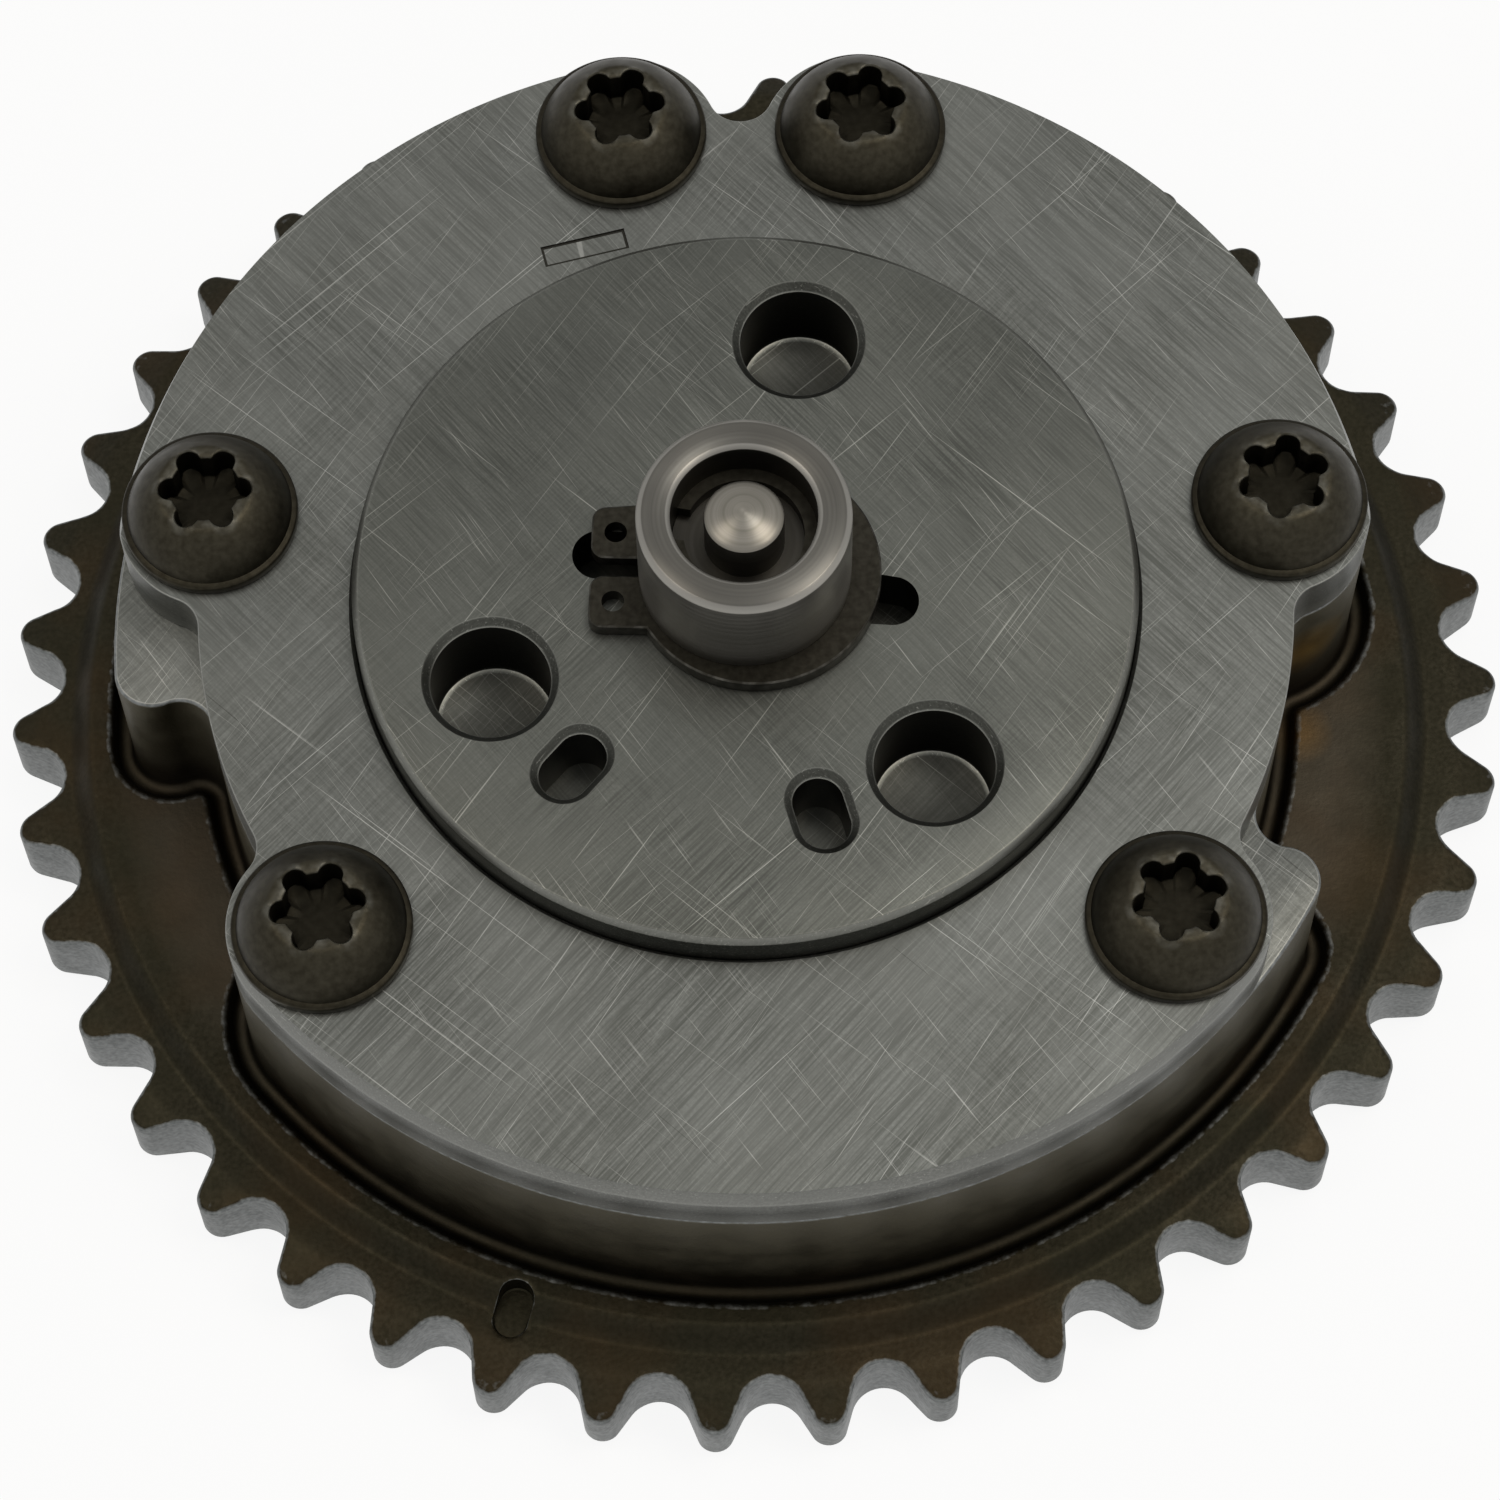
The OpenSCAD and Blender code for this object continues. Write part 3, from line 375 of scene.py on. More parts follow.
mark, mark_n = pill(MARK_LONG, MARK_WIDE, MARK_AT_R, MARK_AT)
mark_rim = skirt(mark, mark_n, [(0.14, 0), (0.04, -0.05), (0, -0.18), (0, 0), (-0.12, 0)])
mark_rim[:3, :, 2] += web_height(mark_rim[:3, :, :2])
mark_rim[3:, :, 2] = [[MARK_FLOOR + 0.1], [MARK_FLOOR]]
spot_radii = np.concatenate([np.arange(47.87, 50.7, 0.15), np.arange(50.9, TIP_R + 0.3, 0.45)])
spots = (spot_radii[:, None, None] * polar(1.0, np.arange(900) * 0.4)[None]).reshape(-1, 2)
near = np.linalg.norm(spots[:, None] - rim_edge[None, ::2], axis=-1).min(1)
spots = spots[(near > SPOT_GAP) & inside(spots, rim_edge) & ~inside(spots, mark + SPOT_GAP * mark_n)]
lip = [(2.2, LEDGE_Z), (2.05, LEDGE_Z)]
lip += [(LIP_OUT - LIP_ROUND * math.sin(a), LIP_Z + LIP_ROUND * math.cos(a))
        for a in np.radians(np.linspace(0, 90, 7))]
dip = [(DIP_OUT + DIP_HALF * math.cos(a), DIP_Z - DIP_DEEP * math.sin(a))
       for a in np.radians(np.linspace(10, 170, 9))]
side = [(0, 8.0), (0, 14), (0, 20.55), (-0.03, 20.72), (-0.1, 20.84), (-0.24, HOUSING_TOP)]
foot = skirt(wall, wall_n, lip + dip + side)
# Marks of lip, groove and wall: a painted highlight line along the lip, a painted shade in the groove and at
# the foot of the wall, and a rubbed top edge.
foot_marks = [0.15, 0.42, 0.48, 0.5, 0.48, 0.42, 0.34, 0.25, 0.1, -0.1]
foot_marks += [-0.55] * 7 + [-0.4, -0.2, 0, 0.2, 0.7, 0.9, 0.6]
cavity = stepped(CHAMBER_R, DIVIDER_R, CHAMBER_SPANS)
recess = circle(RECESS_R, 240)
straight = skirt(cavity, cavity * 0, [(0, HOUSING_TOP), (0, RECESS_DEEP)])
housing_parts = [
    sheet(round_low, True, [1.0, 1.0, 0.9, 0.7, 0.3]),
    sheet(np.stack([round_low[0], round_top[0]]), False, 1.0),
    sheet(round_top, False, [1.0, 1.0, 0.8, 0.55, 0.3]),
    sheet(rear_face, True),
    face(rim_edge, [ledge, mark_rim[0, :, :2]], web_height, True, tip_wear, spots),
    sheet(mark_rim, False, [0.3, 0.5, 0.2, 0, 0]),
    face(mark_rim[-1, :, :2], [], MARK_FLOOR),
    face(ledge, [foot[0][:, :2]], LEDGE_Z),
    sheet(foot, False, foot_marks),
    face(foot[-1][:, :2], [cavity] + hole_loops, HOUSING_TOP),
    sheet(straight),
    face(recess[0], [cavity] + hole_loops, RECESS_DEEP, False),
    sheet(skirt(*recess, [(0, RECESS_DEEP), (0, 0)])),
    face(rear_in, [recess[0]], 0.0, False)]
housing_parts += [sheet(skirt(*h, [(0, HOUSING_TOP), (0, RECESS_DEEP)])) for h in screw_holes]
sprocket = piece("sprocket_casting", housing_parts, "housing", "sprocket_housing")

# %% [markdown]
# The front cover is a ground steel plate. Its rim was turned after the lobes were cut, so the chamfer only
# shows where the outline comes near the full radius. The height of the edge is therefore a function of the
# radius. A shallow rectangle is struck into its face, with a bright bar across the floor.

# %% Front cover
COVER_TOP, BAND_FROM, BAND_SLOPE = 25.6, 44.9, 2.6
HUB_GAP_R = 27.86
TALLY_AT, TALLY_TURN, TALLY_LONG, TALLY_WIDE, TALLY_Z = (-11.5, 28.3), 14.0, 6.3, 1.7, COVER_TOP - 0.12
TALLY_LINE, BAR_AT, BAR_HALF = 0.4, -0.3, 0.15


def band_height(points):
    """Height of the edge of the cover: its top, less a steep slope past the radius where the band begins."""
    return COVER_TOP - BAND_SLOPE * np.maximum(0, np.linalg.norm(points, axis=-1) - BAND_FROM)


def rectangle(centre, turn, width, height):
    """Corners of a turned rectangle: centre plus the turned half sizes."""
    half = np.array([[-1, -1], [1, -1], [1, 1], [-1, 1]]) * [width / 2, height / 2]
    return np.asarray(centre) + turned(half, turn)


def tally_wear(points):
    """Wear of the floor of the tally: 0.7 on a narrow bar across it near the middle, and 0.05 elsewhere."""
    along = (points - np.asarray(TALLY_AT)) @ polar(1.0, TALLY_TURN)
    return np.where(np.abs(along - BAR_AT) < BAR_HALF, 0.7, 0.05)


cover_steps = [(-0.15, HOUSING_TOP), (0, 21.05), (0, 22.6), (0, -0.12), (-0.03, -0.06), (-0.09, -0.02)]
cover_edge = skirt(cover, cover_n, cover_steps)
cover_edge[3:, :, 2] += band_height(cover_edge[3:, :, :2])
edge_plan = cover_edge[5, :, :2]
shrink = np.minimum(1.0, BAND_FROM / np.linalg.norm(edge_plan, axis=-1))
band_in = lifted(edge_plan * shrink[:, None], COVER_TOP)
near_in = 0.85 * band_in + 0.15 * cover_edge[5]
cover_side = np.concatenate([cover_edge, near_in[None], band_in[None]])
bore = circle(HUB_GAP_R, 256)
bore_in = skirt(*bore, [(0.3, COVER_TOP), (0.26, 25.57), (0.05, 25.36), (0, 25.28), (0, HOUSING_TOP)])
tally = spread(rectangle(TALLY_AT, TALLY_TURN, TALLY_LONG, TALLY_WIDE), 0.4)
tally_in = spread(rectangle(TALLY_AT, TALLY_TURN, TALLY_LONG - TALLY_LINE, TALLY_WIDE - TALLY_LINE), 0.1)
tally_low = skirt(tally, np.zeros_like(tally), [(0, COVER_TOP), (0, TALLY_Z)])
cover_parts = [
    sheet(cover_side, False, [0.3, 0.7, 0.1, 0.2, 0.7, 0.5, 0.4, 0.3]),
    face(band_in[:, :2], [bore_in[0][:, :2], tally] + hole_loops, COVER_TOP),
    # The walls and the outline band of the struck rectangle get a painted shade; a bar across its floor is
    # marked lighter.
    sheet(tally_low, False, -0.9),
    face(tally, [tally_in], TALLY_Z, True, -0.9),
    face(tally_in, [], TALLY_Z, True, tally_wear),
    # The bore gets a painted shade at its bottom, in the gap to the hub.
    sheet(bore_in, False, [0.2, 0.5, 0.4, 0.0, -0.6]),
    face(cover_edge[0][:, :2], [bore[0]] + hole_loops, HOUSING_TOP, False)]
cover_parts += [sheet(skirt(*h, [(0, COVER_TOP), (0, HOUSING_TOP)])) for h in screw_holes]
front = piece("front_cover", cover_parts, "housing", "front_plate", 25.0)

# %% [markdown]
# Six flanged button screws hold the cover. One head is a surface of two parameters: the turn around its axis
# and the way from the middle of the drive recess over its six lobed rim and the dome to the flange and the
# shank.

# %% Cover screws
DRIVE_R, HEAD_H, RECESS_Z = 3.3, 4.2, 1.4
LOBE_AT, LOBE_R, CORE_R = 0.745 * DRIVE_R, 0.255 * DRIVE_R, 0.74 * DRIVE_R
DRIVE_ROUND, DOME_END = 0.14, 5.9
BALL_R, BALL_LOW = 6.22, 1.05
DRIVE_TURNS = np.array([12.0, 8.0, 20.0, 0.0, 15.0, 10.0])


def six_lobes(degrees):
    """Radius of the drive recess: the larger of a core circle and the far side of the nearest lobe circle."""
    off = np.radians((degrees + 30) % 60 - 30)
    under = np.maximum(LOBE_R * LOBE_R - (LOBE_AT * np.sin(off)) ** 2, 0)
    far = LOBE_AT * np.cos(off) + np.sqrt(under)
    return np.where(under > 0, np.maximum(far, CORE_R), CORE_R)


def dome(radius):
    """Height of the head over the plate: a ball whose centre lies below the plate, cut flat on top."""
    return np.minimum(np.sqrt(np.maximum(BALL_R ** 2 - radius ** 2, 0)) - BALL_LOW, HEAD_H)


around = np.arange(180) * 2.0
lobed = six_lobes(around)
lobed = (np.roll(lobed, 1) + 2 * lobed + np.roll(lobed, -1)) / 4
drive_rim = lobed + DRIVE_ROUND
top_z = dome(drive_rim)
inner = [(0.0, 0.0), (0.5, 0.0), (0.95, 0.0), (1.0, 0.12)]
lower = [(6.02, 0.88), (6.18, 0.85), (6.28, 0.75), (6.3, 0.6), (6.3, 0.12), (6.22, 0.0), (3.0, 0.0),
         (3.0, -25.0), (2.7, -25.3), (0.0, -25.3)]
head_rows = [(part * lobed, RECESS_Z + rise + 0 * lobed) for part, rise in inner]
head_rows += [(lobed, top_z - 0.2), (lobed + 0.03, top_z - 0.07), (drive_rim, top_z)]
head_rows += [(r, dome(r)) for r in (drive_rim * (1 - t) + DOME_END * t for t in np.linspace(0.08, 1, 14))]
head_rows += [(r + 0 * lobed, z + 0 * lobed) for r, z in lower]
head_r, head_z = np.array(head_rows).transpose(1, 0, 2)
# Marks of the head: a painted shade in the drive recess and at the foot of the dome, and a rubbed rim of the
# drive.
head_marks = [-0.7, -0.7, -0.8, -0.8, -0.4, 0.5, 0.5, 0.4, 0.2] + [0.0] * 11
head_marks += [-0.4, -0.5, -0.5, 0.0, 0.1] + [0.0] * 6
screw_parts = []
for place, turn in zip(screw_places, DRIVE_TURNS):
    grid = lifted(place + head_r[..., None] * polar(1.0, around + turn)[None], COVER_TOP + head_z)
    screw_parts.append(sheet(grid, True, head_marks))
screws = piece("cover_screws", screw_parts, "housing", "plate_screws", 50.0)

# %% [markdown]
# The rotor turns inside the housing. Its ground hub stands proud of the cover and carries three round
# pockets, two oblong pockets and a cross slot. The vanes and the rear boss with the camshaft holes follow the
# same plan as the solids.

# %% Rotor
HUB_R, HUB_TOP, VANE_R, VANE_LOW, VANE_TOP = 27.8, 28.2, 40.3, 3.55, 20.85
VANE_SPANS = [(42.75, 11.6), (137.25, 11.6), (270, 27.25)]
SLOT_TURN, SLOT_HALF, SLOT_REACH, SLEEVE_HOLE, SLOT_Z = 169.35, 1.9, 12.4, 7.52, 23.6
POCKET_R, POCKET_CIRCLE, POCKET_Z = 4.25, 19.45, 20.8
OBLONG_LONG, OBLONG_WIDE, OBLONG_CIRCLE, OBLONG_Z = 5.4, 3.6, 18.65, 22.6
BOSS_R, BOSS_EDGE = 17.5, 0.3
PILOT_R, PILOT_DEEP, SEAT_R, SEAT_DEEP = 9.3, 2.8, 8.62, 5.02
BOLT_CIRCLE, BOLT_R, BOLT_DEEP, DOWEL_R, DOWEL_DEEP = 13.2, 2.5, 9, 2.05, 5

dip_at = math.degrees(math.asin(SLOT_HALF / SLEEVE_HOLE))
slot_end = SLOT_REACH - SLOT_HALF
slot_loop = spread(turned(np.concatenate([
    arc((0, 0), SLEEVE_HOLE, dip_at, 180 - dip_at)[0], arc((-slot_end, 0), SLOT_HALF, 90, 270, FINE)[0],
    arc((0, 0), SLEEVE_HOLE, 180 + dip_at, 360 - dip_at)[0],
    arc((slot_end, 0), SLOT_HALF, -90, 90, FINE)[0]]), SLOT_TURN), 0.6)
vane_loop = stepped(VANE_R, HUB_R, VANE_SPANS)
hub_n = vane_loop / np.linalg.norm(vane_loop, axis=-1)[:, None]
hub_edge = [(0, -0.48), (-0.03, -0.4), (-0.37, -0.06), (-0.42, -0.02), (-0.5, 0.0)]
hub_side = skirt(HUB_R * hub_n, hub_n, [(0, VANE_TOP)] + [(off, HUB_TOP + z) for off, z in hub_edge])
# The hub side gets a painted shade at its foot, in the gap to the cover, and a lighter chamfer.
rotor_parts = [sheet(hub_side, False, [-0.7, -0.1, 0.5, 0.6, 0.2, 0.1])]
top_loops = [slot_loop]
rim = [(0.6, 0.0), (0.55, -0.05), (0.5, -0.1), (0.12, -0.48), (0.06, -0.54), (0, -0.6), (0, -0.75)]
# Pocket rims: painted highlights on both edges of the chamfer, and a painted shade on the chamfer band and
# down the wall.
rim_marks = [0.6, 0.3, -0.35, -0.35, 0.4, 0.9, -0.75]
pocket_foot = [(0, POCKET_Z + 0.4), (-0.1, POCKET_Z + 0.12), (-0.4, POCKET_Z)]
# Pocket walls and floors get a painted shade, with a painted highlight where the wall of a round pocket meets
# its floor.
wells = [(circle(POCKET_R, 80, polar(POCKET_CIRCLE, a)), pocket_foot, [-0.75, 0.6, -0.2], -0.5)
         for a in (78, 203, 312.05)]
wells += [(pill(OBLONG_LONG, OBLONG_WIDE, OBLONG_CIRCLE, a), [(0, OBLONG_Z)], [-0.8], -0.4)
          for a in (229.4, 285.95)]
for (outline, normals), well_foot, well_marks, floor_shade in wells:
    walls = skirt(outline, normals, [(off, HUB_TOP + z) for off, z in rim] + well_foot)
    rotor_parts.append(sheet(walls, False, rim_marks + well_marks))
    rotor_parts.append(face(walls[-1][:, :2], [], well_foot[-1][1], True, floor_shade))
    top_loops.append(walls[0][:, :2])
vane_side = skirt(vane_loop, vane_loop * 0, [(0, VANE_LOW), (0, VANE_TOP)])
boss = circle(BOSS_R, 192)
boss_side = skirt(*boss, [(0, VANE_LOW), (0, BOSS_EDGE), (-BOSS_EDGE, 0)])
pilot, seat_ring = circle(PILOT_R, 128), circle(SEAT_R, 128)
cam_holes = [(circle(BOLT_R, 48, polar(BOLT_CIRCLE, a)), BOLT_DEEP) for a in (30, 150, 270)]
cam_holes += [(circle(DOWEL_R, 48, polar(BOLT_CIRCLE, 90)), DOWEL_DEEP)]
rotor_parts += [
    face(hub_side[-1][:, :2], top_loops, HUB_TOP),
    # The walls and the floor of the slot get a painted shade.
    sheet(skirt(slot_loop, slot_loop * 0, [(0, HUB_TOP), (0, SLOT_Z)]), False, -0.9),
    face(slot_loop, [], SLOT_Z, True, -0.7),
    sheet(vane_side),
    sheet(np.stack([vane_side[1], hub_side[0]])),
    face(vane_loop, [boss[0]], VANE_LOW, False),
    sheet(boss_side, True),
    face(boss_side[-1][:, :2], [pilot[0]] + [h[0][0] for h in cam_holes], 0.0, False),
    sheet(skirt(*pilot, [(0, 0), (0, PILOT_DEEP)])),
    face(pilot[0], [seat_ring[0]], PILOT_DEEP, False),
    sheet(skirt(*seat_ring, [(0, PILOT_DEEP), (0, SEAT_DEEP)])),
    face(seat_ring[0], [], SEAT_DEEP, False)]
for (outline, normals), depth in cam_holes:
    rotor_parts.append(sheet(skirt(outline, normals, [(0, 0), (0, depth)])))
    rotor_parts.append(face(outline, [], depth, False))
rotor = piece("rotor_hub", rotor_parts, "rotor", "rotor", 25.0)

# %% [markdown]
# The valve in the middle is a turned sleeve with a spool inside. Both are surfaces of revolution whose
# profiles carry small rounds, because a bright line on such an edge is what tells the eye that it is
# machined. A clip with two ears sits in a groove at the foot of the sleeve.

# %% Sleeve, spool and clip
NOSE_R, NOSE_BALL, NOSE_PEAK, NOSE_LOW = 2.8, 5.3, 38.6, 37.5
CLIP_TURN = SLOT_TURN + 8.5
CLIP_R, CLIP_SHIFT, CLIP_BORE = 8.85, -0.75, 7.12
EAR_X, EAR_NEAR, EAR_FAR, EAR_ROUND = 9.9, 1.7, 3.7, 1.0
EAR_HOLE_R, EAR_HOLE_X, EAR_HOLE_Y = 0.8, 9.2, 2.7
CLIP_LOW, CLIP_TOP, CLIP_EDGE = 28.25, 29.55, 0.12


def facing(loop):
    """Normals of a counter-clockwise loop: the way between both neighbours, turned a quarter to the right."""
    way = np.roll(loop, -1, 0) - np.roll(loop, 1, 0)
    return np.stack([way[:, 1], -way[:, 0]], -1) / np.linalg.norm(way, axis=-1)[:, None]


sleeve_profile = [
    (5.1, 37.9), (5.12, 38.0), (5.38, 38.26), (5.48, 38.3), (7.05, 38.3), (7.13, 38.26), (7.46, 37.93),
    (7.5, 37.85), (7.5, 34), (7.5, 31.5), (7.5, 29.65), (7.48, 29.57), (7.1, 29.57), (7.1, 28.25),
    (7.5, 28.25), (7.5, 5), (8.6, 5), (8.6, 3), (5.1, 3), (5.1, 18), (5.1, 35.2), (5.1, 37.9)]
# Marks of the sleeve: rubbed edges, a painted light on its side, and a painted shade in the clip groove and
# in the bore.
sleeve_marks = [0.0, 0.3, 0.5, 0.1, 0.1, 0.4, 0.6, 0.3, 0.35, 0.35, 0.0]
sleeve_marks += [-0.5] * 3 + [0.0] * 5 + [-0.8] * 2 + [-0.5]
sleeve_sheet = sheet(revolve(sleeve_profile, 192), True, sleeve_marks)
sleeve = piece("valve_sleeve_turned", [sleeve_sheet], "rotor", "valve_sleeve", 30.0)
nose = [(NOSE_BALL * math.sin(a), NOSE_PEAK - NOSE_BALL * (1 - math.cos(a)))
        for a in np.radians(np.linspace(0, 28, 12))]
spool_profile = nose + [
    (2.66, 37.88), (2.76, 37.78), (NOSE_R, 37.6), (NOSE_R, 34.05), (5.06, 34.05), (5.06, 29), (3.4, 29),
    (3.4, 24.5), (5.06, 24.5), (5.06, 21.1), (3.4, 21.1), (3.4, 17.5), (5.06, 17.5), (5.06, 14.3),
    (3.86, 14.3), (3.86, 17.1), (0, 17.1)]
# The spool below the nose lies inside the sleeve and gets a painted shade.
spool_marks = np.where(np.array(spool_profile)[:, 1] > NOSE_LOW, 0.0, -0.85)
spool_sheet = sheet(revolve(spool_profile, 128), True, spool_marks)
spool = piece("spool_turned", [spool_sheet], "spool", "spool", 30.0)
ear_turn = math.degrees(math.asin((EAR_FAR + EAR_ROUND) / CLIP_R))
gap_turn = math.degrees(math.asin((EAR_NEAR - EAR_ROUND) / CLIP_BORE))
clip_loop = spread(turned(np.concatenate([
    arc((EAR_X, EAR_NEAR), EAR_ROUND, -90, 0, FINER)[0], arc((EAR_X, EAR_FAR), EAR_ROUND, 0, 90, FINER)[0],
    polar(EAR_ROUND, np.array([90])) + [EAR_X, EAR_FAR],
    arc((CLIP_SHIFT, 0), CLIP_R, ear_turn, 360 - ear_turn)[0],
    arc((EAR_X, -EAR_FAR), EAR_ROUND, -90, 0, FINER)[0], arc((EAR_X, -EAR_NEAR), EAR_ROUND, 0, 90, FINER)[0],
    polar(EAR_ROUND, np.array([90])) + [EAR_X, -EAR_NEAR],
    arc((0, 0), CLIP_BORE, 360 - gap_turn, gap_turn)[0], polar(CLIP_BORE, np.array([gap_turn]))]),
    CLIP_TURN), 0.5)
ear_places = turned(np.array([[EAR_HOLE_X, EAR_HOLE_Y], [EAR_HOLE_X, -EAR_HOLE_Y]]), CLIP_TURN)
ear_holes = [circle(EAR_HOLE_R, 32, p) for p in ear_places]
ear_loops = [h[0] for h in ear_holes]
clip_side = skirt(clip_loop, facing(clip_loop), [(-CLIP_EDGE, CLIP_LOW), (0, CLIP_LOW + CLIP_EDGE),
                                                 (0, CLIP_TOP - CLIP_EDGE), (-CLIP_EDGE, CLIP_TOP)])
clip_parts = [face(clip_side[3][:, :2], ear_loops, CLIP_TOP),
              face(clip_side[0][:, :2], ear_loops, CLIP_LOW, False),
              sheet(clip_side, False, [0.0, 0.3, 0.6, 0.5])]
clip_parts += [sheet(skirt(*h, [(0, CLIP_TOP), (0, CLIP_LOW)])) for h in ear_holes]
clip = piece("eared_clip", clip_parts, "rotor", "sleeve_circlip", 30.0)

# %% [markdown]
# A finish is a colour, a gloss and a fine pattern. Colours are written as sRGB hex values and turned to
# linear light by one function. One small function adds a node, sets or links its inputs and hands on one
# output, and two pattern functions built on it give lines and patches whose sizes are real ones in
# millimetres.

# %% Nodes and patterns


def linear(code):
    """sRGB hex to linear: c / 12.92 below 0.04045, otherwise ((c + 0.055) / 1.055) to the power 2.4."""
    c = np.array([int(code[k:k + 2], 16) for k in (1, 3, 5)]) / 255
    return (*np.where(c <= 0.04045, c / 12.92, ((c + 0.055) / 1.055) ** 2.4).tolist(), 1.0)


def add(tree, kind, inputs=None, out=0, **settings):
    """Adds one node, sets its properties, sets or links its inputs, and gives back one of its outputs."""
    node = tree.nodes.new(kind)
    for key, setting in settings.items():
        setattr(node, key, setting)
    for key, entry in (inputs or {}).items():
        if isinstance(entry, bpy.types.NodeSocket):
            tree.links.new(entry, node.inputs[key])
        else:
            node.inputs[key].default_value = entry
    return node.outputs[out]


def streaks(tree, coords, along, width, length, span, to=(0, 1)):
    """Lines along an angle: noise squeezed to a width and drawn out to a length in mm, cut at two levels."""
    scale = (width * MM, length * MM, width * MM)
    place = add(tree, "ShaderNodeMapping", {"Vector": coords, "Rotation": (0, 0, math.radians(along - 90)),
                                            "Scale": scale}, vector_type="TEXTURE")
    noise = add(tree, "ShaderNodeTexNoise", {"Vector": place, "Scale": 1.0, "Detail": 2.0})
    return add(tree, "ShaderNodeMapRange", {"Value": noise, "From Min": span[0], "From Max": span[1],
                                            "To Min": to[0], "To Max": to[1]})


def patches(tree, coords, size, span, to=(0, 1), detail=3.0):
    """Soft patches: noise of a size in mm, cut at two levels."""
    noise = add(tree, "ShaderNodeTexNoise", {"Vector": coords, "Scale": 1 / (size * MM), "Detail": detail})
    return add(tree, "ShaderNodeMapRange", {"Value": noise, "From Min": span[0], "From Max": span[1],
                                            "To Min": to[0], "To Max": to[1]})


def from_axis(tree, coords):
    """Distance from the turning axis, which is the length of (x, y, 0), and the height z."""
    flat = add(tree, "ShaderNodeVectorMath", {0: coords, 1: (1, 1, 0)}, operation="MULTIPLY")
    radius = add(tree, "ShaderNodeVectorMath", {0: flat}, "Value", operation="LENGTH")
    return radius, add(tree, "ShaderNodeSeparateXYZ", {0: coords}, "Z")


def laid_over(tree, colour, layers):
    """Colours laid over each other in turn, each with its own factor."""
    for factor, code in layers:
        over = linear(code) if isinstance(code, str) else code
        colour = add(tree, "ShaderNodeMix", {0: factor, 6: colour, 7: over}, 2, data_type="RGBA")
    return colour


def finish(name, **constants):
    """New material; constants are set on the sockets of its principled shader."""
    material = bpy.data.materials.new(name)
    material.use_nodes = True
    tree = material.node_tree
    shader = tree.nodes["Principled BSDF"]
    for key, setting in constants.items():
        shader.inputs[key.replace("_", " ")].default_value = setting
    coords = add(tree, "ShaderNodeTexCoord", None, "Object")
    # The mark of each corner: rubbed coat and painted highlights above zero, painted shade below zero.
    wear_and_light_fac = add(tree, "ShaderNodeAttribute", None, "Fac", attribute_name="wear_and_light")
    return material, tree, shader, coords, wear_and_light_fac


def connect(tree, shader, colour, roughness, height, strength, depth):
    """Links a colour, a roughness and a bump whose depth is given in mm to the shader."""
    bump = add(tree, "ShaderNodeBump", {"Height": height, "Strength": strength, "Distance": depth * MM})
    for key, socket in (("Base Color", colour), ("Roughness", roughness), ("Normal", bump)):
        tree.links.new(socket, shader.inputs[key])


# %% [markdown]
# The cover and the hub are ground steel: a grinding wheel leaves a fine cross hatch of short lines, and
# handling leaves a few longer scratches. The lines are about 0.15 mm wide, wider than real so that they
# can be seen. A dark brown shade is painted into the corners, the pockets, the slot and the gaps, and
# highlights are painted on the rims of the pockets. A scratch of the table is a lay, a turn from it, a
# width, a length, two levels of noise and a strength.

# %% Ground steel
HATCH_WIDE, HATCH_LONG, HATCH_CUT = 0.15, 5.0, (0.35, 0.65)
FIRST_LAY_Y, SECOND_LAY_Y = 20.0, -32.0
SCRATCHES = [(0, 8, 0.15, 30.0, (0.68, 0.74), 0.6), (1, -5, 0.15, 34.0, (0.68, 0.74), 0.6),
             (1, 9, 0.13, 18.0, (0.66, 0.74), 0.5), (0, -7, 0.13, 9.0, (0.66, 0.76), 0.5)]
COVER_LAYS, HUB_LAYS, PIN_LAYS = (133, 48), (131, 46), (15, 100)


def ground_colour(tree, coords, wear_and_light_fac, dark, mid, light, lays):
    """Two lays of hatch that trade places from top to bottom, then bright scratches, dark ones, light where
    the mark is above zero, and painted shade where it is below zero.
    """
    first, second = (streaks(tree, coords, lay, HATCH_WIDE, HATCH_LONG, HATCH_CUT) for lay in lays)
    across = add(tree, "ShaderNodeSeparateXYZ", {0: coords}, "Y")
    lower = add(tree, "ShaderNodeMapRange", {"Value": across, "From Min": FIRST_LAY_Y * MM,
                                             "From Max": SECOND_LAY_Y * MM})
    drift = patches(tree, coords, 18.0, (0.4, 0.6), (-0.4, 0.4))
    where = add(tree, "ShaderNodeMath", {0: lower, 1: drift}, use_clamp=True)
    hatch = add(tree, "ShaderNodeMix", {0: where, 2: first, 3: second}, data_type="FLOAT")
    grain = patches(tree, coords, 0.22, (0.25, 0.75), (0.0, 0.5), 1.0)
    cloud = patches(tree, coords, 12.0, (0.35, 0.65), (0.0, 0.45))
    gouge = streaks(tree, coords, lays[0] + 5, 0.2, 16.0, (0.73, 0.76), (0.0, 0.5))
    bright = [(streaks(tree, coords, lays[lay] + turn, width, length, span, (0.0, most)), light)
              for lay, turn, width, length, span, most in SCRATCHES]
    # Above zero the mark lightens rubbed edges and paints highlights on the rims of the pockets.
    edge = add(tree, "ShaderNodeMapRange", {"Value": wear_and_light_fac, "To Max": 0.6})
    # Below zero the mark paints a dark brown shade into corners, pockets, the slot and the gaps.
    painted_shade = add(tree, "ShaderNodeMapRange", {"Value": wear_and_light_fac, "From Max": -1.0})
    colour = laid_over(tree, linear(dark), [(hatch, mid), (grain, dark), (cloud, mid), (gouge, "#2e2d29"),
                                            *bright, (edge, light), (painted_shade, "#1d1b16")])
    return colour, hatch


